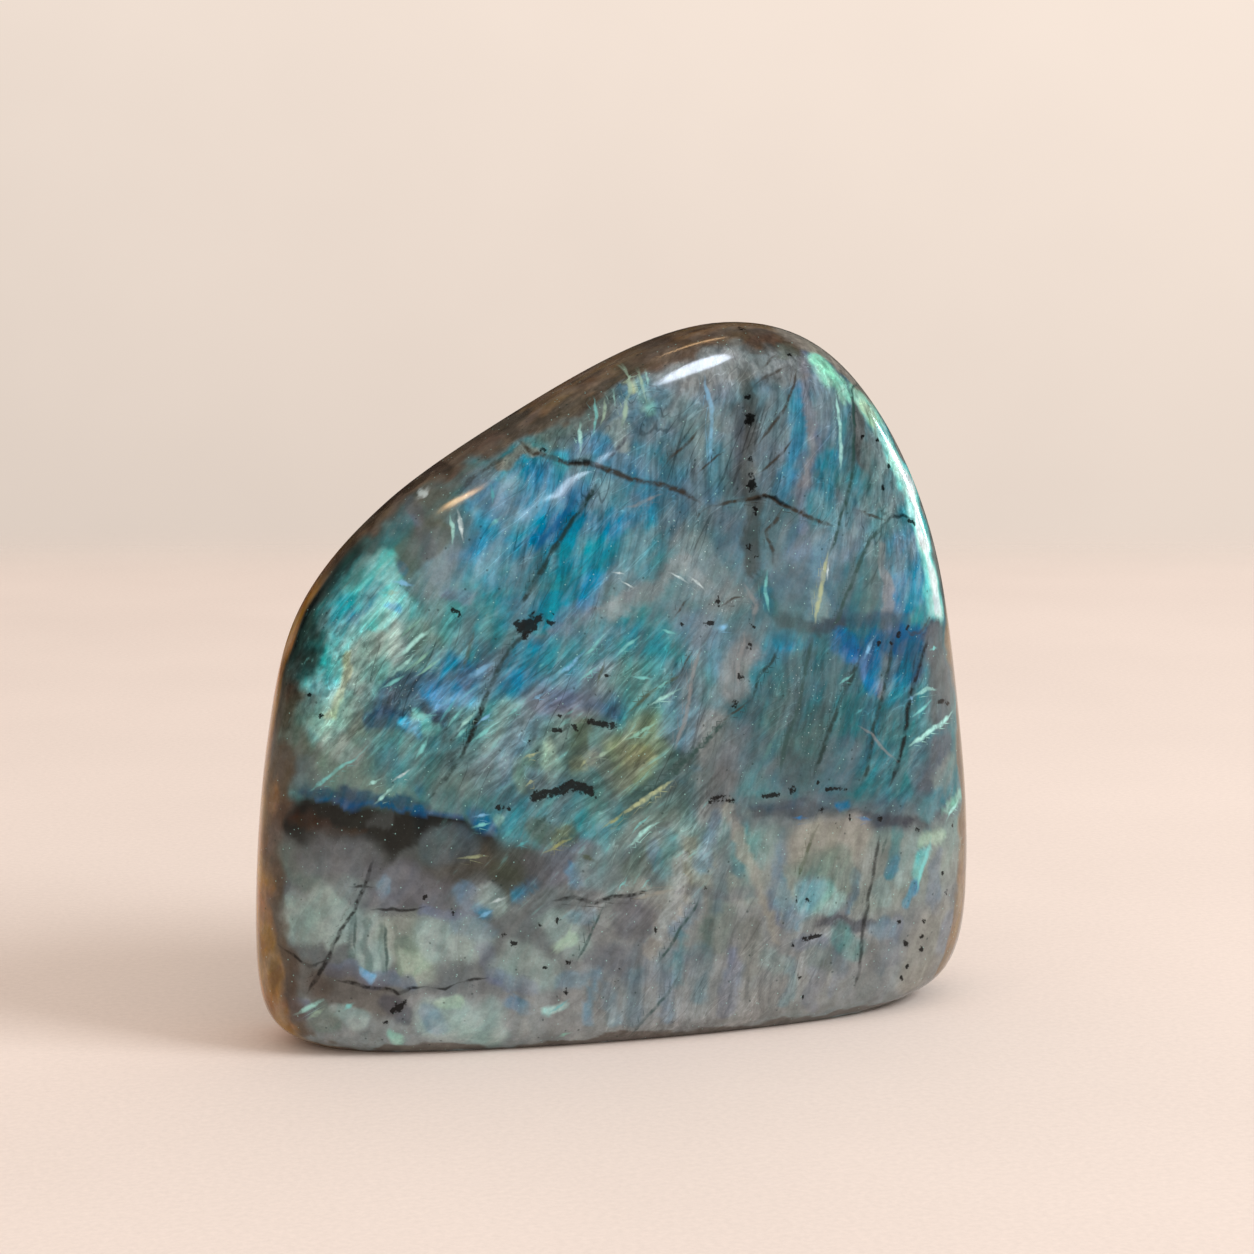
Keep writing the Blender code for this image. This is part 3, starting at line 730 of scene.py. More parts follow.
    ("rim_olive", 0.6, 2.2, (-46.5, 56), (-44, 61.5), (-40, 66.5), (-37, 70)),
    ("rim_olive", 0.7, 1.6, (-48, 50), (-46.5, 55)),
    ("umber", 0.9, 2.2, (-50, 45), (-48.5, 50)),
    ("olive_grey", 0.7, 2.2, (-46.5, 48), (-47.5, 44)),
    ("umber", 0.8, 2.0, (-49.5, 42), (-50, 37)),
    ("rim_brown", 0.9, 1.8, (-37, 72), (-31, 77), (-25, 81), (-16, 85)),
    ("rim_brown", 0.35, 2.4, (-33, 72), (-28, 75.5), (-22, 79.5)),
    ("olive_grey", 0.6, 1.4, (-33.5, 67), (-31, 70), (-29, 71.5)),
    ("rim_brown", 0.9, 1.8, (-16, 85), (-8, 89), (0, 93.5), (6, 96)),
    ("tan", 0.5, 0.9, (-20, 79.5), (-16.5, 81.5), (-15, 81)),
    ("rim_brown", 0.9, 1.5, (6, 96), (14, 97), (22, 96)),
    ("umber", 0.6, 1.1, (9, 96), (14, 95.8), (22, 94.8)),
    ("olive_grey", 0.6, 1.0, (20, 93.6), (21.8, 94.4)),
    ("rim_grey", 0.7, 1.0, (22, 96), (28, 94), (32, 90.8), (35, 87.4)),
    ("rim_grey", 0.5, 0.6, (37.8, 84), (41, 78.5), (44, 70), (46.3, 58)),
    ("tan", 0.8, 1.4, (47.8, 54), (49, 44), (49.5, 30), (48.8, 16), (46.3, 5)),
    ("umber", 0.6, 1.8, (-50.8, 32), (-51, 20), (-50, 9), (-47.5, 3)),
]

# %% [markdown]
# The rims
#
# Where the stone was ground round, the colour play ends and the thin edge lets light through, so it looks
# amber brown with a smoky line inside. On the left rim that amber is partly painted light: it is painted
# lighter for the warm light that falls on that side. The upper rims are brush marks like those of the front.
# The left one is steep as seen from the front, and marks across and up would smear on it, so its bands follow
# how far the surface still faces forwards: 1 on the front, 0 on the edge, below 0 behind.

# %% Rim marks
RIM_MARKS = [
    ("rim_olive", 0.5, 1.6, (-47.5, 56), (-45, 61), (-41.5, 66), (-37.5, 70.5)),
    ("smoke", 0.4, 0.8, (-48.6, 45), (-47, 52), (-45.2, 58.5), (-41.8, 64.5), (-38.2, 68.6)),
    # amber on the upper left rim: its own brown, painted lighter as painted light of the warm light there
    ("honey_dark", 0.95, 1.1, (-49.6, 55), (-47.9, 60), (-45.1, 65), (-41.3, 69.8), (-37.7, 73.4)),
    ("rim_brown", 0.95, 2.2, (-37, 72.5), (-31, 77.8), (-25, 81.8), (-16, 86)),
    ("smoke", 0.5, 0.7, (-37, 71.5), (-31, 76.5), (-26, 80)),
    ("honey_dark", 0.6, 0.6, (-36, 74.5), (-29, 79.5), (-22, 83.5)),
    ("rim_brown", 0.95, 2.0, (-16, 85.5), (-8, 89.5), (0, 93.5), (6, 96)),
    ("smoke_soft", 0.5, 0.8, (-18, 83.5), (-9, 87.6), (-1, 91.6)),
    ("tan", 0.4, 0.6, (-14, 86.4), (-8, 89.4), (1, 94)),
    ("umber", 0.7, 1.5, (6, 96.5), (14, 97.5), (22, 96)),
    ("tan", 0.5, 0.5, (7, 96.8), (14, 97.8), (20, 97)),
    ("rim_grey", 0.9, 1.2, (22, 96.5), (28, 94.2), (32, 91), (35.8, 87.6)),
    ("rim_grey", 0.8, 0.8, (37.9, 84.5), (41.3, 78.5), (44.6, 70), (46.8, 60)),
    ("tan", 0.8, 1.6, (48, 57), (49.8, 44), (50.4, 30), (49.4, 14), (46.2, 4.5)),
    ("umber", 0.5, 0.5, (48.4, 46), (48.9, 34), (48.7, 22)),
    ("umber", 0.6, 1.8, (-50.2, 40), (-50.8, 30), (-50.8, 20), (-50.4, 8), (-48, 3)),
    # amber down the left side: its own brown, painted lighter as painted light of the warm light there
    ("honey_dark", 0.8, 1.5, (-51.6, 40), (-52, 30), (-52, 20), (-51.6, 8), (-49, 2.5)),
    ("umber", 0.6, 0.5, (-51, 13), (-51.2, 7)),
    ("umber", 0.5, 0.5, (-50.6, 36), (-51, 27), (-50.9, 21)),
    # painted shade: a dark brown line along the foot, where the stone meets the table
    ("umber", 0.7, 0.8, (-48, 0.4), (-30, 0.3), (0, 0.3), (30, 0.3), (44, 0.4)),
]

# %% Bands of the left rim
LEFT_RIM = [    # colour, strength, how far the surface faces forwards from and to, height from and to
    # the amber bands are partly painted light: painted lighter for the warm light on the left side
    ("honey_dark", 0.95, -0.80, 0.18, -5, 68),
    ("amber_and_painted_light", 0.85, -0.60, 0.04, -5, 62),
    ("smoke", 0.80, 0.20, 0.36, 51, 67),
    ("umber", 0.65, 0.14, 0.40, 26, 52),
    ("honey_dark", 0.60, 0.10, 0.42, -5, 16),
]
print("marks:", len(FRONT_MARKS) + len(RIM_MARKS), "bands:", len(LEFT_RIM))

# %% [markdown]
# Cracks and slashes
#
# Healed cracks are hairlines in the stone. Bright slashes are cracks that catch the light. All lie under the
# polish, so they are lines of colour: a colour, a strength, half a width and the points they run through.

# %% Fine lines of the front
FRONT_LINES = [
    # healed cracks
    ("night", 0.9, 0.42, (-7.5, 77.7), (-9, 75.5), (-11, 73), (-13, 70), (-15, 67.3), (-17.5, 63), (-19, 61)),
    ("night", 0.8, 0.38, (-17, 58), (-20.3, 55.3), (-23, 50), (-24.8, 45), (-26.8, 41), (-30, 37),
     (-31, 35.5)),
    ("smoke", 0.8, 0.40, (-23.4, 49), (-24.8, 45), (-26.2, 42)),
    ("crack", 0.9, 0.42, (-17, 82.5), (-15.5, 81.2), (-12, 80.2), (-7.5, 79.5), (-3, 77.5), (0.3, 76.9),
     (4, 75.9), (6.3, 74.7)),
    ("smoke", 0.8, 0.45, (-12, 80.4), (-9, 80), (-6.8, 79)),
    ("crack", 0.8, 0.25, (6.3, 84), (3.5, 81.5), (1.5, 79.3)),
    ("crack", 0.8, 0.22, (10, 81), (8, 79.7), (6, 78.3)),
    ("crack", 0.9, 0.35, (9, 74), (12, 74.2), (16, 74.6), (20, 73), (24, 70.9), (26, 70.3)),
    ("smoke", 0.8, 0.40, (13.6, 74.2), (17.5, 74.4), (20, 73.1)),
    ("crack", 0.8, 0.25, (30, 72), (32, 71.3), (34.5, 70.8)),
    ("smoke", 0.8, 0.28, (34.5, 70.3), (36, 71), (38, 71), (40, 70.3)),
    ("crack", 0.7, 0.22, (8, 73.9), (6.5, 73), (5.5, 71.8)),
    ("crack", 0.8, 0.24, (20, 92), (17.5, 91), (15.5, 90)),
    ("crack", 0.8, 0.22, (18.7, 93.7), (16.5, 92)),
    ("crack", 0.85, 0.26, (21.5, 91.5), (20.5, 89), (19.3, 86.8), (16.5, 83.3), (15.3, 82)),
    ("crack", 0.85, 0.22, (20, 82.5), (17.8, 80), (15.2, 78)),
    ("deep", 0.9, 0.34, (33, 89.5), (31, 88.5), (30.3, 86), (30, 83), (29.2, 76), (27.7, 72), (25.7, 66.5)),
    ("smoke", 0.7, 0.24, (30.6, 87.4), (30.2, 84), (29.8, 80)),
    ("deep", 0.85, 0.36, (35, 70.5), (32.3, 68), (30.5, 65), (28.5, 61), (27, 57.5), (26, 56.3)),
    ("crack", 0.8, 0.30, (18.5, 73), (17.3, 71), (16, 70), (17, 67.5), (17, 66)),
    ("deep", 0.7, 0.40, (22.7, 55), (21.7, 50.5), (20.7, 45.5), (18.5, 40), (18, 37)),
    ("night", 0.85, 0.42, (30, 51.5), (27.8, 47), (26, 43), (24, 38.5), (23, 36)),
    ("night", 0.85, 0.38, (35.7, 53), (34.5, 47.5), (32.7, 42), (32.2, 39), (31.5, 35.5), (30.7, 34)),
    ("smoke", 0.9, 0.42, (42, 53.5), (40, 49.5), (38.3, 46), (37.8, 41), (36.7, 37), (35.3, 33.5)),
    ("deep", 0.9, 0.50, (10.5, 45), (8, 43), (4.5, 39.8), (1.5, 37.3), (0, 36), (-3, 35)),
    ("gold_dark", 0.8, 0.28, (3.6, 51), (1, 50), (-1.5, 48.5), (-4, 46.3)),
    ("crack", 0.8, 0.20, (5, 54.5), (4, 52.5), (3.6, 51.2)),
    ("crack", 0.8, 0.22, (4.7, 61.2), (2.8, 59.2)),
    ("crack", 0.8, 0.22, (9.5, 60), (11.5, 61.2), (13, 61.3)),
    ("crack", 0.8, 0.22, (9, 44.3), (11, 45.7), (13.5, 47)),
    ("night", 0.85, 0.32, (14, 47.2), (15.3, 50.5), (16.5, 52), (17.5, 54)),
    ("gold_dark", 0.7, 0.26, (-8.3, 50), (-7.3, 53.5)),
    ("smoke", 0.85, 0.32, (-38.7, 27), (-41, 21), (-43.8, 16), (-46, 11), (-47, 9.5)),
    ("smoke", 0.8, 0.22, (-41.5, 23.9), (-39, 23.7)),
    ("smoke", 0.8, 0.24, (-38.5, 20.9), (-36, 21), (-33, 20.6), (-32, 20.8)),
    ("smoke", 0.8, 0.24, (-50, 15.2), (-48, 13.5), (-46.8, 12.8), (-45.2, 13.6)),
    ("smoke", 0.85, 0.28, (-43, 11.2), (-39, 10.4), (-36.5, 9.8), (-35.5, 9.3), (-34, 10), (-32, 10.1)),
    ("smoke", 0.8, 0.22, (-31, 10), (-29.5, 9.7), (-27.8, 10.3)),
    ("smoke", 0.8, 0.22, (-27, 10.5), (-23.5, 10.8)),
    ("deep", 0.7, 0.24, (-40.8, 20), (-40.8, 15)),
    ("deep", 0.7, 0.24, (-37, 19), (-37, 12)),
    ("smoke", 0.85, 0.36, (-14.5, 21), (-12, 21.3), (-9, 20.4), (-6.5, 21.3), (-4, 21), (-1, 21.8)),
    ("deep", 0.8, 0.26, (-8, 19.5), (-9.5, 17), (-10.8, 14), (-11.5, 12.8)),
    ("deep", 0.8, 0.26, (5.8, 20), (4.5, 18), (1.8, 13.5), (0, 11.2)),
    ("deep", 0.7, 0.24, (3, 9.8), (1.5, 7), (-1.5, 4.2), (-3.5, 1)),
    ("smoke", 0.7, 0.34, (33.5, 26), (32.7, 22), (31.8, 17.5), (31, 13), (30.3, 7.5), (29.7, 5)),
    ("deep", 0.6, 0.24, (34.8, 26), (33.8, 23.5)),
    ("gold_dark", 0.7, 0.30, (23.5, 28.5), (22.5, 26), (20.7, 21.5)),
    ("deep", 0.8, 0.40, (-17.5, 31), (-15, 32.8)),
    ("gold_dark", 0.8, 0.45, (-10.8, 27), (-9, 26)),
    ("crack", 0.6, 0.30, (38, 55.3), (39, 54.5), (40.5, 54.6), (42.5, 56.3)),
    ("mauve_dark", 0.7, 0.30, (-3, 84), (-5.5, 81), (-6.5, 80)),
    ("royal", 0.7, 0.50, (-11, 75), (-14, 71.5), (-17, 68)),
    ("gold_dark", 0.6, 0.24, (-24.5, 58), (-26.3, 52.5)),
    ("crack", 0.6, 0.3, (-27, 74.8), (-23, 78.2), (-19, 81)),
    # pale veins
    ("cream_gold", 0.8, 0.35, (25.3, 66), (24.5, 62), (23.5, 57.5)),
    ("pink_vein", 0.7, 0.35, (5.8, 54), (4.7, 48), (4, 45), (2.8, 41.5)),
    ("pink_vein", 0.7, 0.30, (-3.5, 74), (0.5, 75.3)),
    ("pink_vein", 0.6, 0.40, (13, 63), (14.5, 60.5), (14, 58)),
    ("pink_vein", 0.6, 0.35, (12.5, 56), (12, 52), (12, 49)),
    ("beige", 0.8, 0.35, (2, 21.5), (-0.5, 21.2), (-3, 20.6)),
    ("cream_gold", 0.6, 0.25, (-27, 27.5), (-23.8, 27.7)),
    ("pink_vein", 0.6, 0.24, (30.8, 41.8), (32.3, 41), (34, 38.7), (36, 36.7)),
    ("white", 0.7, 0.22, (2.6, 64.6), (4.2, 63.6)),
    ("white", 0.7, 0.22, (5.4, 63.8), (6.6, 62.9)),
    ("cyan", 0.8, 0.35, (30.4, 44), (31, 44.4)),
    ("green_teal", 0.6, 0.35, (15, 38), (16.5, 41), (18, 43)),
    ("blue_teal", 0.7, 0.4, (32.2, 47.2), (32.7, 45.6)),
    ("royal_bright", 0.8, 0.35, (20.8, 30.3), (21.6, 30.2)),
    ("royal_bright", 0.8, 0.35, (30.4, 29.1), (31.8, 28.9)),
    # bright slashes, upper left
    ("white", 0.9, 0.32, (-26, 73.5), (-26, 70.7)),
    ("aqua_pale", 0.8, 0.28, (-27, 73), (-27.4, 70.2)),
    ("cyan", 0.8, 0.30, (-21.5, 75.2), (-21.3, 76.8)),
    ("aqua", 0.8, 0.30, (-22.2, 72), (-21, 72.8)),
    ("flash", 0.9, 0.40, (-34.7, 64.7), (-33, 64.6)),
    ("cream", 0.9, 0.40, (-35.9, 63.3), (-35, 63.3)),
    ("white", 0.6, 0.30, (-30.2, 75.2), (-29, 76.2)),
    ("aqua_pale", 0.9, 0.35, (-35, 55), (-30, 58.5)),
    ("aqua_pale", 0.9, 0.32, (-35.5, 52.5), (-33, 54.8)),
    ("aqua", 0.8, 0.28, (-36.8, 50.8), (-34.5, 52)),
    ("aqua_green", 0.7, 0.24, (-33.6, 53.2), (-30, 55.6)),
    ("aqua_green", 0.7, 0.24, (-32.3, 52.3), (-29, 54.3)),
    ("aqua_green", 0.7, 0.22, (-34.4, 57.4), (-31.6, 59.8)),
    ("cyan", 0.8, 0.24, (-29.5, 46.2), (-27.5, 48.6)),
    ("aqua", 0.8, 0.24, (-28.2, 45.6), (-26.3, 47.6)),
    ("aqua", 0.8, 0.26, (-33, 46.5), (-30.5, 47)),
    ("aqua", 0.8, 0.28, (-46, 37), (-41.5, 40.5), (-40, 41.5)),
    ("white", 0.8, 0.26, (-35.5, 38.4), (-34, 39.4)),
    ("aqua_pale", 0.9, 0.32, (-38, 35.3), (-37, 36.2)),
    ("aqua_pale", 0.9, 0.26, (-36.5, 36.6), (-36, 37.2)),
    ("aqua_pale", 0.9, 0.28, (-38.7, 37.7), (-37.8, 38.2)),
    ("aqua", 0.9, 0.36, (-32.8, 41.3), (-31.2, 43.8)),
    ("aqua_pale", 0.9, 0.30, (-26.5, 45.2), (-24.8, 46.8)),
    ("aqua", 0.8, 0.26, (-27.2, 44.1), (-26, 44.9)),
    ("flash", 0.8, 0.28, (-24.2, 45.6), (-22.8, 46.8)),
    ("aqua", 0.8, 0.26, (-25, 43.3), (-22.5, 45.2)),
    ("flash", 0.6, 0.45, (-26, 51.5), (-22.5, 53.5)),
    ("flash", 0.8, 0.26, (-24.8, 33.2), (-23.6, 33.4)),
    ("aqua", 0.9, 0.30, (-25, 31.9), (-23.6, 32.2)),
    # top middle
    ("cream", 0.9, 0.34, (-1.5, 92), (-2.7, 88.3)),
    ("cream", 0.9, 0.28, (-0.3, 91.5), (-0.5, 88.5)),
    ("aqua_pale", 0.8, 0.24, (0.7, 91.8), (0.4, 90.3)),
    ("cream", 0.9, 0.36, (-3, 88), (-4, 85)),
    ("aqua_pale", 0.9, 0.26, (-4.4, 88.5), (-4.6, 87.7)),
    ("cream", 0.8, 0.26, (-5.8, 87.5), (-6.4, 85.5)),
    ("aqua", 0.7, 0.24, (-7, 88), (-7.2, 86), (-7.6, 84)),
    ("aqua_pale", 0.9, 0.34, (-9.2, 84.8), (-9.7, 81.8)),
    ("flash", 0.5, 0.35, (8, 91), (8.2, 85), (8, 80)),
    # middle
    ("flash", 0.8, 0.30, (-13.5, 51.7), (-10.3, 54.8)),
    ("aqua", 0.8, 0.30, (-9.8, 54.9), (-7.5, 56.7)),
    ("aqua", 0.8, 0.26, (-10.4, 51.3), (-8.5, 52.8)),
    ("aqua", 0.8, 0.28, (-5.2, 54.3), (-2.7, 56.3)),
    ("flash", 0.8, 0.24, (-17, 48.7), (-16, 49.3)),
    ("aqua", 0.8, 0.24, (-20.2, 46.6), (-19.2, 47.3)),
    ("aqua", 0.8, 0.26, (-0.2, 49.2), (1.5, 50.3)),
    ("aqua_pale", 0.8, 0.30, (-0.8, 47.2), (2.8, 48.9)),
    ("aqua", 0.8, 0.26, (-3, 51), (-1.3, 50.8)),
    ("aqua_green", 0.8, 0.30, (-4, 43), (-0.3, 44.5)),
    ("cream_gold", 0.9, 0.30, (-18.2, 40.7), (-17, 41.2)),
    ("cream_gold", 0.8, 0.24, (-18, 37.3), (-17.2, 37.7)),
    ("cream_gold", 0.8, 0.26, (-10.7, 39.3), (-10, 40)),
    ("cream", 0.8, 0.28, (-9, 40.2), (-7, 41)),
    ("cream_gold", 0.9, 0.34, (-4.5, 33), (-1, 35), (1.8, 36.8)),
    ("aqua_pale", 0.9, 0.32, (-4.3, 28.1), (-1.3, 30), (0, 30.8)),
    ("aqua", 0.8, 0.26, (-3.5, 30), (-1.5, 31.8)),
    ("gold_bright", 0.8, 0.28, (-7.5, 31), (-5, 32.8)),
    ("gold_bright", 0.8, 0.30, (-15.5, 28), (-12.5, 29.5)),
    ("cyan", 0.9, 0.34, (-21, 30.5), (-20, 31.3)),
    ("cyan", 0.9, 0.34, (-19.1, 29.1), (-18.3, 29.5)),
    ("aqua", 0.8, 0.24, (-5.3, 22.5), (-4.7, 23.5)),
    ("aqua", 0.8, 0.24, (-2.3, 22.3), (-1.5, 23)),
    ("white", 0.8, 0.22, (-4.6, 63.6), (-3.7, 63.2)),
    ("white", 0.8, 0.22, (-5.6, 65), (-5, 64.9)),
    ("aqua", 0.8, 0.24, (1, 57.2), (2.5, 56.8)),
    ("flash", 0.95, 0.75, (9.3, 56.9), (9.9, 57.1)),
    ("aqua", 0.7, 0.30, (16.2, 64.3), (15.8, 62), (16.2, 59.5)),
    ("white", 0.8, 0.28, (25.5, 64.5), (25.4, 63.5)),
    ("aqua", 0.7, 0.26, (27.3, 48.5), (28.6, 49.3)),
    ("aqua_pale", 0.7, 0.30, (27.7, 88), (27.7, 84), (27.4, 78.5)),
    ("flash", 0.8, 0.40, (31, 52), (32.5, 54)),
    # right edge
    ("aqua_pale", 0.95, 0.40, (38.7, 38.7), (41, 40), (43, 40.8), (46.5, 42.1)),
    ("aqua", 0.9, 0.30, (39.3, 43), (41.8, 44.4)),
    ("aqua_pale", 0.8, 0.36, (39.3, 45.8), (41.5, 46.2), (43, 46)),
    ("aqua_pale", 0.8, 0.34, (45.5, 27.5), (47.5, 29.5)),
    ("flash", 0.9, 0.34, (38.2, 45.3), (38.6, 45.5)),
    ("aqua", 0.9, 0.36, (42.7, 51.8), (43.3, 51.8)),
    ("aqua", 0.8, 0.36, (42, 25), (41, 21), (40, 18)),
    # lower edge
    ("aqua_pale", 0.9, 0.42, (-48, 5.8), (-45.5, 8)),
    ("cream", 0.8, 0.40, (-46.5, 5.4), (-45.3, 6.6)),
    ("aqua", 0.8, 0.40, (-42.3, 7.2), (-41.6, 7.8)),
    ("cyan", 0.8, 0.26, (-14.5, 6), (-13, 7)),
    ("aqua_green", 0.8, 0.30, (-13.4, 2), (-12.5, 2.5)),
    ("cream", 0.8, 0.30, (-14.7, 14.5), (-13, 16), (-12.5, 17.3)),
    ("flash", 0.7, 0.30, (-24.2, 19.4), (-23, 20)),
    ("white", 0.6, 0.30, (-22.6, 21.3), (-21.4, 21.8)),
]

# %% [markdown]
# Black grains
#
# Small grains of black ore grew in the feldspar, many of them in rows. Each is a round or drawn-out blot.

# %% Black grains
BLACK_GRAINS = [    # radius, then the points it runs through
    (1.2, (-18.3, 58.2), (-17.4, 58.5)), (0.7, (-17.3, 58.6), (-16.3, 59.6)),
    (0.45, (-19.6, 58.5), (-18.5, 58.2)), (0.5, (-18.0, 57.0), (-17.6, 58)), (0.35, (-17.4, 60.2)),
    (0.35, (-14.9, 59), (-14.3, 58.7)),
    (0.25, (-14.4, 59.8)), (0.45, (-27.4, 61), (-26.9, 60.5)), (0.35, (-26.7, 60.6), (-26.5, 60)),
    (0.45, (4, 57.8)), (0.4, (7, 57.7), (8.2, 57.7)), (0.4, (8.8, 60), (8.8, 61)), (0.45, (-7, 51.4)),
    (0.45, (-8.7, 48.9)), (0.40, (-14.7, 44.2), (-13.6, 44.2)), (0.4, (-12.3, 44.3), (-11.2, 44.3)),
    (0.5, (-10, 45), (-6, 44.8)), (0.4, (-17.7, 42.7)), (0.35, (-16.9, 41.9)), (0.35, (-13.6, 45.8)),
    (0.35, (-12.8, 45.6)), (0.75, (-17, 35.5), (-14.5, 35.9)), (0.9, (-14, 36), (-12, 36.8), (-10, 36)),
    (0.5, (-10, 36), (-9, 35.2)), (0.6, (13.7, 88.2)), (0.85, (13.8, 85.6), (13.8, 85.2)),
    (0.5, (14.2, 80)), (0.45, (14.2, 77.7)), (0.8, (14.2, 76.5), (14.2, 76)), (0.45, (14.3, 73)),
    (0.4, (14.3, 72.2)), (0.5, (13.6, 68)), (0.4, (14.7, 66.8)), (0.4, (31.5, 82.4)), (0.4, (34, 81.7)),
    (0.45, (36, 78)), (0.45, (34.5, 75)), (0.5, (36.6, 54.5)), (0.45, (35.5, 53.5)), (0.5, (33.5, 53.4)),
    (0.45, (38.3, 55.5)), (0.45, (13.3, 57.9)), (0.4, (13.7, 56.9)), (0.45, (13.2, 54.3)),
    (0.6, (12.3, 50.4)), (0.65, (11.2, 47)), (0.45, (7.2, 33.5), (9, 34)), (0.45, (9, 34), (11, 33.3)),
    (0.4, (15.2, 33.9), (17.5, 33.8)), (0.7, (19.5, 34.2)), (0.5, (23.8, 34.7)),
    (0.35, (25.3, 33.5), (28, 33.5)), (0.7, (-35.5, 7.3)), (0.45, (-36.3, 6.8), (-34.8, 8)),
    (0.45, (-37, 5)), (0.45, (-13.8, 18.3)), (0.45, (-16.2, 17.9)), (0.5, (-12.8, 12.5)),
    (0.45, (-16, 12)), (0.45, (-13, 8.5)), (0.45, (-5.1, 10.9)), (0.5, (-0.2, 15.9)), (0.5, (6.6, 21.5)),
    (0.4, (-5.8, 9.3)), (0.5, (-21.5, 16.5)), (0.6, (-20.3, 15.2)), (0.45, (-31.7, 22.4)),
    (0.4, (-28, 20)), (0.5, (24, 30.8)), (0.5, (33.5, 28.8)), (0.4, (28.7, 29.4)), (0.4, (26.4, 28.5)),
    (0.4, (39.8, 26.8)), (0.4, (46.5, 26.4)), (0.4, (21.5, 12.9), (24.5, 13)), (0.4, (20, 12.3)),
    (0.55, (38, 10.3)), (0.5, (40.7, 11)), (0.45, (40.7, 9)), (0.4, (41, 13.3)), (0.5, (36.8, 13.6)),
    (0.45, (20.3, 18.6)), (0.45, (22, 18.5)), (0.4, (45, 16.5)), (0.4, (44.5, 19.5)), (0.45, (21, 7.5)),
    (0.4, (21.7, 4.3)), (0.4, (38.5, 6.8)), (0.4, (37.5, 5.3)), (0.4, (43.7, 44.1), (46, 43.8)),
    (0.6, (-22, 34.3)), (0.45, (-20.8, 34.3)), (0.4, (-44.4, 46.8)), (0.35, (-45.8, 49.3)),
    (0.35, (39, 70.2), (40.2, 69.7)), (0.45, (15, 97.3)), (0.4, (21, 93.5)), (0.4, (-14.3, 81.5)),
]

# %% [markdown]
# Laying the marks on the skin
#
# Each point of the skin looks up how far it is from the path of a mark and takes the mark's colour in that
# measure. An image could be painted instead, but marks on the points need no unwrapping and leave no seam.

# %% Brush
def distance_to(path, where):
    """Distance in mm from each point to a path of straight pieces."""
    nearest = np.full(len(where), np.inf)
    for start, end in zip(path, path[1:] or path):
        start, run = np.array(start, float), np.subtract(end, start)
        along = np.clip((where - start) @ run / max(run @ run, 1e-9), 0, 1)
        nearest = np.minimum(nearest, np.linalg.norm(where - start - along[:, None] * run, axis=1))
    return nearest


def close_to(path, where, reach):
    """The numbers of the points that lie within reach of a path's own box."""
    low, high = np.min(path, axis=0) - reach, np.max(path, axis=0) + reach
    return np.flatnonzero(np.all((where > low) & (where < high), axis=1))


def brush(paint, marks, where, weight):
    """Lays the marks one after the other. A mark is full up to 0.65 of its half width and gone at 1.25."""
    for name, strength, half_width, *path in marks:
        near = close_to(path, where, 1.35 * half_width)
        far = distance_to(path, where[near]) / half_width
        cover = strength * weight[near] * smooth_step(1.25, 0.65, far)
        paint[near] += (PAINT[name] - paint[near]) * cover[:, None]


def blot(paint, name, low, high, field):
    """Lays a colour where a random field rises from low to high."""
    paint += (PAINT[name] - paint) * 0.7 * smooth_step(low, high, field)[:, None]

# %% [markdown]
# The ground of the sides and the back
#
# The sides and the back aren't brushed by hand. The sides get the brown grey of the rims, and the back gets
# quiet blots of the same feldspar colours, drawn out on a slant as the flashes of the front are. Noise
# places both.

# %% Ground colours
SIDE_BLOTS = [      # colour, size in mm, level of the noise above which it shows, seed
    ("umber", 7.0, 0.10, 31), ("rim_olive", 9.0, 0.25, 32), ("tan", 6.0, 0.30, 33), ("slate", 8.0, 0.35, 34),
]
BACK_BLOTS = [
    ("mauve", 16, 0.0, 41), ("teal", 14, 0.0, 42), ("ash", 12, 0.1, 43), ("azure", 9, 0.25, 44),
    ("moss_grey", 8, 0.1, 45), ("pearl", 6, 0.3, 46), ("deep_azure", 7, 0.3, 47), ("smoke_soft", 7, 0.35, 48),
]
DRAWN_UP = (1, 1, 0.6)
DRAWN_SLANTING = np.array(((0.47, 0, 0.40), (0, 1, 0), (-0.88, 0, 0.21)))

facing_front = smooth_step(0.05, 0.50, -normals[:, 1])
facing_back = smooth_step(0.05, 0.50, normals[:, 1])
colours = np.tile(PAINT["rim_brown"], (count, 1))
for name, size, level, seed in SIDE_BLOTS:
    blot(colours, name, level, level + 0.3, noise(points * DRAWN_UP, size, seed))
back = np.tile(PAINT["dull_teal"], (count, 1))
slanting = points @ DRAWN_SLANTING
for name, size, level, seed in BACK_BLOTS:
    field = (noise(slanting, size, seed) + 0.45 * noise(slanting, size / 2.7, seed + 10)
             + 0.2 * noise(slanting, size / 7, seed))
    blot(back, name, level, level + 0.45, field)
colours += (back - colours) * facing_back[:, None]
print("blots:", len(SIDE_BLOTS) + len(BACK_BLOTS))

# %% Marks of the front and the rims
bent = points[:, [0, 2]].copy()        # across and up, bent by up to about 2 mm
for axis in (0, 1):
    bent[:, axis] += (0.8 * noise(points, 5.0, 10 + axis) + 0.65 * noise(points, 2.3, 20 + axis)
                      + 0.35 * noise(points, 1.0, 50 + axis))
brush(colours, FRONT_MARKS, bent, facing_front)
brush(colours, RIM_MARKS, bent, smooth_step(0.80, 0.45, normals[:, 1]))

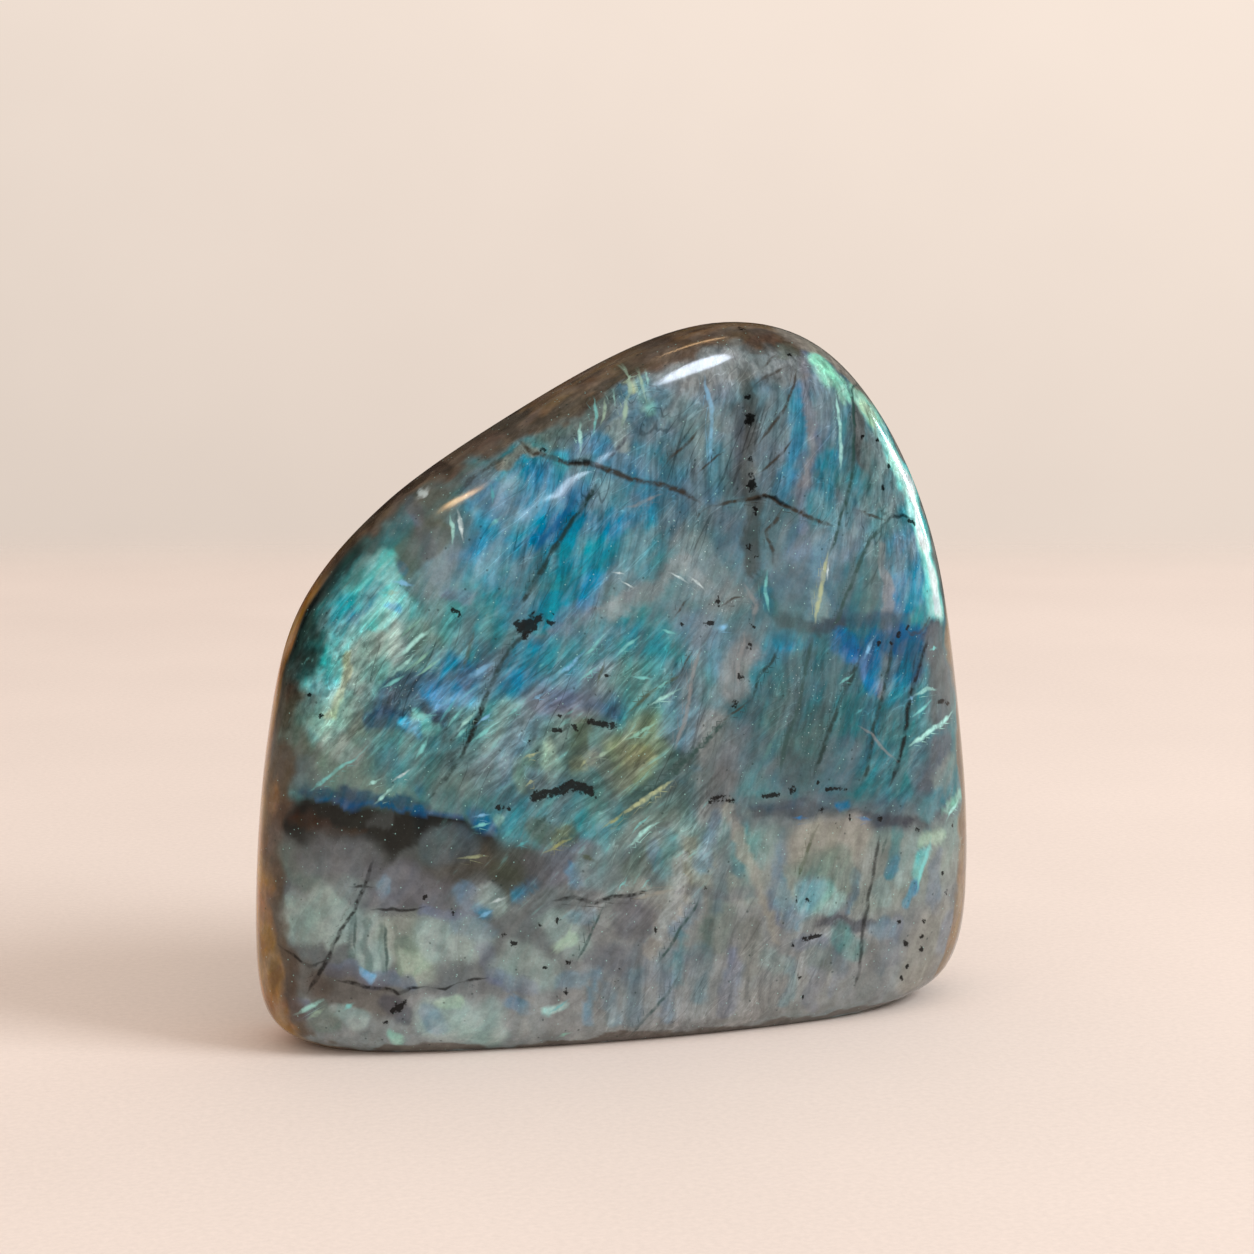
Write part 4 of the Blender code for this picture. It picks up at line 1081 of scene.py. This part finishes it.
SOFT_TURN = 0.07        # softness of a band's edges, in how far the surface faces forwards
forwards = -normals[:, 1] + 0.07 * noise(points, 4.0, 61)
height = points[:, 2] + 5 * noise(points, 6.0, 62)
on_the_left = smooth_step(-20, -32, points[:, 0])
for name, strength, back_end, front_end, low, high in LEFT_RIM:
    across = (smooth_step(back_end - SOFT_TURN, back_end + SOFT_TURN, forwards)
              * smooth_step(front_end + SOFT_TURN, front_end - SOFT_TURN, forwards))
    upwards = smooth_step(low - 4, low + 4, height) * smooth_step(high + 5, high - 5, height)
    cover = strength * on_the_left * across * upwards
    colours += (PAINT[name] - colours) * cover[:, None]
print("bent by at most, mm:", round(np.abs(bent - points[:, [0, 2]]).max(), 2))

# %% [markdown]
# Evening out the light
#
# The lamp makes the right side of the stone a little brighter than the left, and near the table the stone
# shades itself. The real one is lit more evenly, so the paint is made darker or lighter to match.

# %% Even light
LAMP_SLOPE = 0.0028       # share of light that the stone gains for each mm to the right
BASE_SHADE = 0.20         # share that it loses at the bottom
colours /= (1 + LAMP_SLOPE * points[:, :1]) * (1 - BASE_SHADE * smooth_step(9, 1, points[:, 2:]))
print("mean paint:", colours.mean(axis=0).round(3))

# %% [markdown]
# Fine lines
#
# Cracks and slashes are finer than the points of the skin lie apart. So a point doesn't hold the colour of a
# line but how far beside it the point lies, left or right, counted in half widths. The material reads that
# between the points and draws the line where it is less than one, so its edge is crisp. Lines that cross
# would spoil each other's distances, so they are shared out over a few layers, each with its own distances.

# %% Line layers
LAYERS = 5
LINE_REACH = 1.0        # mm beside a line within which points hold its distance
MOST_APART = 8.0        # largest distance held, in half widths
front_points = np.flatnonzero(normals[:, 1] < 0.1)
front_place = bent[front_points] * 0.35 + points[front_points][:, [0, 2]] * 0.65
gap = np.full((LAYERS, count), MOST_APART)
line_paint = np.zeros((LAYERS, count, 4))


def beside(path, where):
    """Distances in mm: beside a path (with a sign), past its ends, from the nearer end, and its length."""
    nearest, side, past, along_path = (np.full(len(where), value) for value in (np.inf, 0.0, 0.0, 0.0))
    walked = 0.0
    for number, (start, end) in enumerate(zip(path, path[1:])):
        start, run = np.array(start, float), np.subtract(end, start)
        long = np.linalg.norm(run)
        run = run / long
        along, across = (where - start) @ run, (where - start) @ np.array((-run[1], run[0]))
        over = np.maximum(np.maximum(-along, along - long), 0)
        far = np.hypot(across, over)
        closer = far < nearest
        at_end = (along < 0) & (number == 0) | (along > long) & (number == len(path) - 2)
        nearest[closer], past[closer] = far[closer], np.where(at_end, over, 0)[closer]
        side[closer] = np.where(at_end, across, np.where(across < 0, -far, far))[closer]
        along_path[closer] = (walked + np.clip(along, 0, long))[closer]
        walked += long
    return side, past, np.minimum(along_path, walked - along_path), walked


for name, strength, half_width, *path in FRONT_LINES:
    near = close_to(path, front_place, LINE_REACH + 0.5)
    side, past, inward, length = beside(path, front_place[near])
    reach = (np.abs(side) < LINE_REACH) & (past < LINE_REACH)
    mine = front_points[near[reach]]
    layer = next(number for number in range(LAYERS) if not line_paint[number, mine, 3].any())
    fullness = smooth_step(0.0, min(0.35 * length, 1.5), inward[reach])     # 0 at the tips, 1 inwards
    width = 0.90 * half_width * (0.45 + 0.55 * fullness)
    gap[layer, mine] = np.clip(side[reach] / width, -MOST_APART, MOST_APART)
    line_paint[layer, mine, :3] = PAINT[name]
    line_paint[layer, mine, 3] = (strength * (0.45 + 0.55 * fullness)
                                  * smooth_step(LINE_REACH, 0.6, np.abs(side[reach]))
                                  * smooth_step(0.8, 0.0, past[reach]))
print("lines:", len(FRONT_LINES), "in", LAYERS, "layers")

# %% [markdown]
# Grains and kinds of texture
#
# A black grain is a height called ink that falls off from its middle, and the material cuts it off where it
# is low, so the edge is crisp. The fine texture differs from zone to zone as well: some zones are hatched
# with slanting slashes, some have upright layers, and some are full of tiny cracks that glitter. How much of
# each a point has is kept in one colour: red for hatched, green for upright, alpha for glitter.

# %% Grains
ink = np.zeros(count)
for radius, *path in BLACK_GRAINS:
    near = close_to(path, front_place, 3 * radius)
    far = distance_to(path, front_place[near])
    here = front_points[near]
    ink[here] = np.maximum(ink[here], 1 - 0.5 * far / (0.8 * radius))
print("grains:", len(BLACK_GRAINS))

# %% Kinds of texture
HATCHED = [      # strength, half width in mm, points it runs through
    (1.0, 13, (-36, 52), (-20, 46), (-4, 46)), (0.8, 9, (-8, 32), (2, 30)), (0.5, 9, (-20, 28), (0, 24)),
    (0.6, 6, (38, 43), (36, 36)),
]
UPRIGHT = [
    (1.0, 14, (-12, 72), (10, 84), (26, 84), (36, 74)), (0.8, 9, (20, 48), (34, 48)),
    (0.5, 8, (10, 60), (8, 20)), (0.6, 8, (-2, 6), (14, 8), (30, 18)),
]
GLITTERING = [
    (1.0, 4.0, (4, 69), (9, 62)), (0.8, 3.0, (21, 49), (24, 41)), (0.6, 2.5, (12, 86)),
    (0.12, 4.0, (-42, 32), (-30, 31)), (0.5, 3.5, (-34, 15), (-28, 15)), (0.5, 5.0, (-38, 58), (-34, 52)),
]
RED, GREEN, ALPHA = 0, 1, 3
kinds = np.zeros((count, 4))
for channel, zones in ((RED, HATCHED), (GREEN, UPRIGHT), (ALPHA, GLITTERING)):
    for strength, half_width, *path in zones:
        near = close_to(path, bent, 1.5 * half_width)
        cover = strength * smooth_step(1.4, 0.5, distance_to(path, bent[near]) / half_width)
        kinds[near, channel] = np.maximum(kinds[near, channel], cover * (0.2 + 0.8 * facing_front[near]))

# %% Keep it all on the skin
def store(name, kind, values):
    """Keeps one value or one colour for each point of the skin, under a name that a material can read."""
    data = skin.data.attributes.new(name, kind, "POINT").data
    data.foreach_set("color" if kind == "FLOAT_COLOR" else "value", np.asarray(values, np.float32).ravel())


store("zone_colour", "FLOAT_COLOR", np.c_[colours, np.ones(count)])
store("texture_kind", "FLOAT_COLOR", kinds)
store("ink", "FLOAT", ink)
for layer in range(LAYERS):
    store(f"line_{layer}_gap", "FLOAT", gap[layer])
    store(f"line_{layer}_paint", "FLOAT_COLOR", line_paint[layer])
print("kept on the skin:", [data.name for data in skin.data.attributes])

# %% [markdown]
# The polished feldspar
#
# One Principled shader does it: a dense stone, polished like glass. Its colour is the brushed ground, broken
# up by patterns that real labradorite has: slanting slashes and upright layers where the crystal lamellae
# cut the surface, mottling, a fine grain and sparks of white. The patterns only darken or lighten the ground,
# so the zones keep their colours. The lines and the black grains come last. All patterns are laid out in
# millimetres, so a pattern of 0.5 to the mm has blots of 2 mm.

# %% Start of the stone's material
# Polished labradorite feldspar: light that enters is split by thin layers, the surface itself is clear gloss.
stone_paint, tree, shader = start_material("polished_labradorite_feldspar")
place = add(tree, "ShaderNodeTexCoord").outputs["Object"]
mm = add(tree, "ShaderNodeVectorMath", {0: place, "Scale": 1000.0}, operation="SCALE").outputs["Vector"]
zone = add(tree, "ShaderNodeAttribute", attribute_name="zone_colour").outputs["Color"]
kind = add(tree, "ShaderNodeAttribute", attribute_name="texture_kind")
glittering = kind.outputs["Alpha"]
kind = add(tree, "ShaderNodeSeparateColor", {"Color": kind.outputs["Color"]})
hatched, upright = kind.outputs["Red"], kind.outputs["Green"]

# Crystal layers aren't quite straight: most patterns are read at a place that wanders off by 1 or 2 mm.
wander = add(tree, "ShaderNodeTexNoise", {"Vector": mm, "Scale": 0.06, "Detail": 1.0}).outputs["Color"]
wander = add(tree, "ShaderNodeVectorMath", {0: wander, 1: (0.5, 0.5, 0.5)}, operation="SUBTRACT")
wandering_mm = add(tree, "ShaderNodeVectorMath", {0: wander.outputs["Vector"], 1: (5.0, 5.0, 5.0), 2: mm},
                   operation="MULTIPLY_ADD").outputs["Vector"]

# %% Building blocks of a few nodes
def stretched(angle, along, across):
    """The wandering place, turned by angle in the front's plane and scaled, per mm, along and across that."""
    turned = add(tree, "ShaderNodeMapping", {"Vector": wandering_mm, "Rotation": (0, math.radians(angle), 0)})
    return add(tree, "ShaderNodeVectorMath", {0: turned.outputs["Vector"], 1: (along, across, across)},
               operation="MULTIPLY").outputs["Vector"]


def pattern(where, per_mm, detail, roughness, levels, values):
    """Noise with so many blots to the mm, moved smoothly from a range of levels into a range of values."""
    field = add(tree, "ShaderNodeTexNoise",
                {"Vector": where, "Scale": per_mm, "Detail": detail, "Roughness": roughness})
    return add(tree, "ShaderNodeMapRange",
               {"Value": field.outputs["Fac"], "From Min": levels[0], "From Max": levels[1],
                "To Min": values[0], "To Max": values[1]}, interpolation_type="SMOOTHSTEP").outputs["Result"]


def specks(where, per_mm, outer, inner, strength):
    """How strongly the middles of Voronoi cells cover, gone at outer, and a random colour for each cell."""
    cells = add(tree, "ShaderNodeTexVoronoi", {"Vector": where, "Scale": per_mm})
    cover = add(tree, "ShaderNodeMapRange",
                {"Value": cells.outputs["Distance"], "From Min": outer, "From Max": inner,
                 "To Min": 0.0, "To Max": strength}, interpolation_type="SMOOTHSTEP")
    return cover.outputs["Result"], cells.outputs["Color"]

# %% [markdown]
# Crystal domains and mottling
#
# The stone is a mosaic of crystals, and each reflects a little lighter or darker, bluer or greener than the
# next. A Voronoi pattern stretched along the slant of the lamellae gives each domain its own value. Mottling
# and a fine grain make it lighter and darker still.

# %% Domains and mottling
DOMAIN_PLACE = stretched(62, 0.10, 0.34)         # domains of about 10 by 3 mm
domain = add(tree, "ShaderNodeTexVoronoi", {"Vector": DOMAIN_PLACE, "Scale": 1.0})
domain = add(tree, "ShaderNodeSeparateColor", {"Color": domain.outputs["Color"]})
domain_tone = add(tree, "ShaderNodeMapRange",
                  {"Value": domain.outputs["Red"], "To Min": 0.93, "To Max": 1.07},
                  interpolation_type="SMOOTHSTEP")
domain_hue = add(tree, "ShaderNodeMapRange",
                 {"Value": domain.outputs["Green"], "To Min": -0.006, "To Max": 0.006},
                 interpolation_type="SMOOTHSTEP")
hue = pattern(wandering_mm, 0.20, 3.0, 0.6, (0.30, 0.70), (0.488, 0.512))
hue = add(tree, "ShaderNodeMath", {0: domain_hue.outputs["Result"], 1: hue}, operation="ADD").outputs["Value"]
rich = pattern(stretched(62, 0.12, 0.4), 1.0, 3.0, 0.6, (0.32, 0.68), (0.78, 1.20))
factors = [domain_tone.outputs["Result"],
           pattern(mm, 0.5, 4.0, 0.65, (0.32, 0.68), (0.84, 1.16)),       # mottling
           pattern(mm, 3.0, 3.0, 0.7, (0.30, 0.70), (0.93, 1.07))]        # grain
print("nodes so far:", len(tree.nodes))

# %% [markdown]
# Lamellae
#
# Slanting slashes, upright layers and broad bands are noise stretched along one direction. Hair-fine strands
# lie where such a noise crosses one level, as a contour line on a map does, which draws thin lines that never
# quite repeat.

# %% Lamellae
SLASH_PLACE = stretched(40, 0.22, 1.3)           # slashes of about 5 by 0.8 mm
LAYER_PLACE = stretched(80, 0.09, 1.1)           # layers of about 11 by 0.9 mm
slashes = pattern(SLASH_PLACE, 1.0, 2.5, 0.55, (0.32, 0.68), (-0.36, 0.42))
upright_layers = pattern(LAYER_PLACE, 1.0, 2.5, 0.6, (0.32, 0.68), (-0.28, 0.30))
for field, mask in ((slashes, hatched), (upright_layers, upright)):
    shading = add(tree, "ShaderNodeMath", {0: field, 1: mask, 2: 1.0}, operation="MULTIPLY_ADD")
    factors.append(shading.outputs["Value"])
factors.append(pattern(stretched(82, 0.025, 0.30), 1.0, 2.0, 0.5, (0.30, 0.70), (0.88, 1.12)))

in_layers = add(tree, "ShaderNodeMath", {0: hatched, 1: upright}, operation="MAXIMUM").outputs["Value"]
here_and_there = pattern(wandering_mm, 0.12, 2.0, 0.5, (0.42, 0.60), (0.0, 1.0))
in_some_layers = add(tree, "ShaderNodeMath", {0: here_and_there, 1: in_layers}, operation="MULTIPLY")
STRANDS = [     # where, angle, per mm along and across, width and level of the noise, factor on a strand
    (in_some_layers.outputs["Value"], 66, 0.022, 0.40, 0.014, 0.47, 0.58),
    (in_layers, 47, 0.035, 0.60, 0.014, 0.52, 0.80),
    (in_layers, 43, 0.040, 0.55, 0.012, 0.56, 1.38),
]
for mask, angle, along, across, width, level, factor in STRANDS:
    field = add(tree, "ShaderNodeTexNoise",
                {"Vector": stretched(angle, along, across), "Scale": 1.0, "Detail": 1.5, "Roughness": 0.4})
    off = add(tree, "ShaderNodeMath", {0: field.outputs["Fac"], 1: level}, operation="SUBTRACT")
    off = add(tree, "ShaderNodeMath", {0: off.outputs["Value"]}, operation="ABSOLUTE")
    near = add(tree, "ShaderNodeMapRange",
               {"Value": off.outputs["Value"], "From Min": width, "From Max": 0.15 * width,
                "To Min": 0.0, "To Max": 1.0}, interpolation_type="SMOOTHSTEP")
    near = add(tree, "ShaderNodeMath", {0: near.outputs["Result"], 1: mask}, operation="MULTIPLY")
    strand = add(tree, "ShaderNodeMapRange",
                 {"Value": near.outputs["Value"], "To Min": 1.0, "To Max": factor},
                 interpolation_type="SMOOTHSTEP")
    factors.append(strand.outputs["Result"])

shade = factors[0]
for factor in factors[1:]:
    shade = add(tree, "ShaderNodeMath", {0: shade, 1: factor}, operation="MULTIPLY").outputs["Value"]
colour = add(tree, "ShaderNodeHueSaturation", {"Hue": hue, "Saturation": rich, "Value": shade, "Color": zone})
colour = colour.outputs["Color"]
print("nodes so far:", len(tree.nodes))

# %% [markdown]
# Slashes, sparks and flecks
#
# Small faults in the crystal catch the lamps as bright slashes and as points of light. A point is the middle
# of a cell of a Voronoi pattern. In the glittering zones the points are finer, and only some of them shine.
# What lies over the ground is kept in a list first: how strongly it covers, and its colour.

# %% Slashes, sparks and flecks
bright_slash = pattern(SLASH_PLACE, 1.0, 2.5, 0.55, (0.62, 0.76), (0.0, 0.35))
bright_slash = add(tree, "ShaderNodeMath", {0: bright_slash, 1: hatched}, operation="MULTIPLY")
sparks = specks(mm, 0.9, 0.10, 0.05, 0.50)[0]
glints, glint_colour = specks(mm, 2.1, 0.20, 0.08, 0.8)
shining = add(tree, "ShaderNodeSeparateColor", {"Color": glint_colour}).outputs["Red"]
shining = add(tree, "ShaderNodeMapRange", {"Value": shining, "From Min": 0.35, "From Max": 1.0},
              interpolation_type="SMOOTHSTEP").outputs["Result"]
for mask in (shining, glittering):
    glints = add(tree, "ShaderNodeMath", {0: glints, 1: mask}, operation="MULTIPLY").outputs["Value"]
flecks = specks(wandering_mm, 0.45, 0.10, 0.04, 0.55)[0]
overlays = [
    (bright_slash.outputs["Value"], (*PAINT["aqua"], 1)),
    (sparks, (*PAINT["aqua_pale"], 1)),
    (glints, (*PAINT["white"], 1)),
    (flecks, (*PAINT["night"], 1)),
]
print("overlays:", len(overlays))

# %% [markdown]
# Lines and grains
#
# The material draws each layer of lines where the distance that the points hold is small. Noise added to the
# distance frays the edges, and a second noise makes a line now stronger, now fainter, as real cracks are.
# The black grains are cut off at one height of their ink and come last.

# %% Lines and grains
ragged = pattern(mm, 1.1, 3.0, 0.6, (0.25, 0.75), (-0.26, 0.26))
fading = pattern(mm, 0.8, 2.0, 0.6, (0.38, 0.56), (0.50, 1.0))
for layer in range(LAYERS):
    off = add(tree, "ShaderNodeAttribute", attribute_name=f"line_{layer}_gap").outputs["Fac"]
    off = add(tree, "ShaderNodeMath", {0: off, 1: ragged}, operation="ADD").outputs["Value"]
    off = add(tree, "ShaderNodeMath", {0: off}, operation="ABSOLUTE").outputs["Value"]
    line = add(tree, "ShaderNodeAttribute", attribute_name=f"line_{layer}_paint").outputs
    cover = add(tree, "ShaderNodeMapRange", {"Value": off, "From Min": 1.5, "From Max": 0.3},
                interpolation_type="SMOOTHSTEP").outputs["Result"]
    for mask in (line["Alpha"], fading):
        cover = add(tree, "ShaderNodeMath", {0: cover, 1: mask}, operation="MULTIPLY").outputs["Value"]
    overlays.append((cover, line["Color"]))

frayed = pattern(mm, 2.0, 3.0, 0.65, (0.25, 0.75), (-0.26, 0.26))
inked = add(tree, "ShaderNodeAttribute", attribute_name="ink").outputs["Fac"]
inked = add(tree, "ShaderNodeMath", {0: inked, 1: frayed}, operation="ADD").outputs["Value"]
cover = add(tree, "ShaderNodeMapRange", {"Value": inked, "From Min": 0.38, "From Max": 0.62, "To Max": 0.93},
            interpolation_type="SMOOTHSTEP").outputs["Result"]
overlays.append((cover, (*PAINT["black"], 1)))

# Sockets 6 and 7 and output 2 are the ones that the Mix node has for colours.
for amount, over in overlays:
    colour = add(tree, "ShaderNodeMix", {0: amount, 6: colour, 7: over}, data_type="RGBA").outputs[2]
tree.links.new(colour, shader.inputs["Base Color"])
print("overlays:", len(overlays))

# %% [markdown]
# The polish
#
# Labradorite bends light a little more strongly than window glass: its IOR is 1.56. A polished stone is also
# a touch rougher than glass. The specular level is low, because hardly anything stands around this stone
# that could be mirrored in it.

# %% Polish
shader.inputs["Roughness"].default_value = 0.12
shader.inputs["IOR"].default_value = 1.56
shader.inputs["Specular IOR Level"].default_value = 0.15
skin.data.materials.clear()
skin.data.materials.append(stone_paint)
print("nodes in the stone:", len(tree.nodes))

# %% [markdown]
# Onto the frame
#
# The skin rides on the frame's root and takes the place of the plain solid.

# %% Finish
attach(skin, "root")
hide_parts("polished_labradorite")
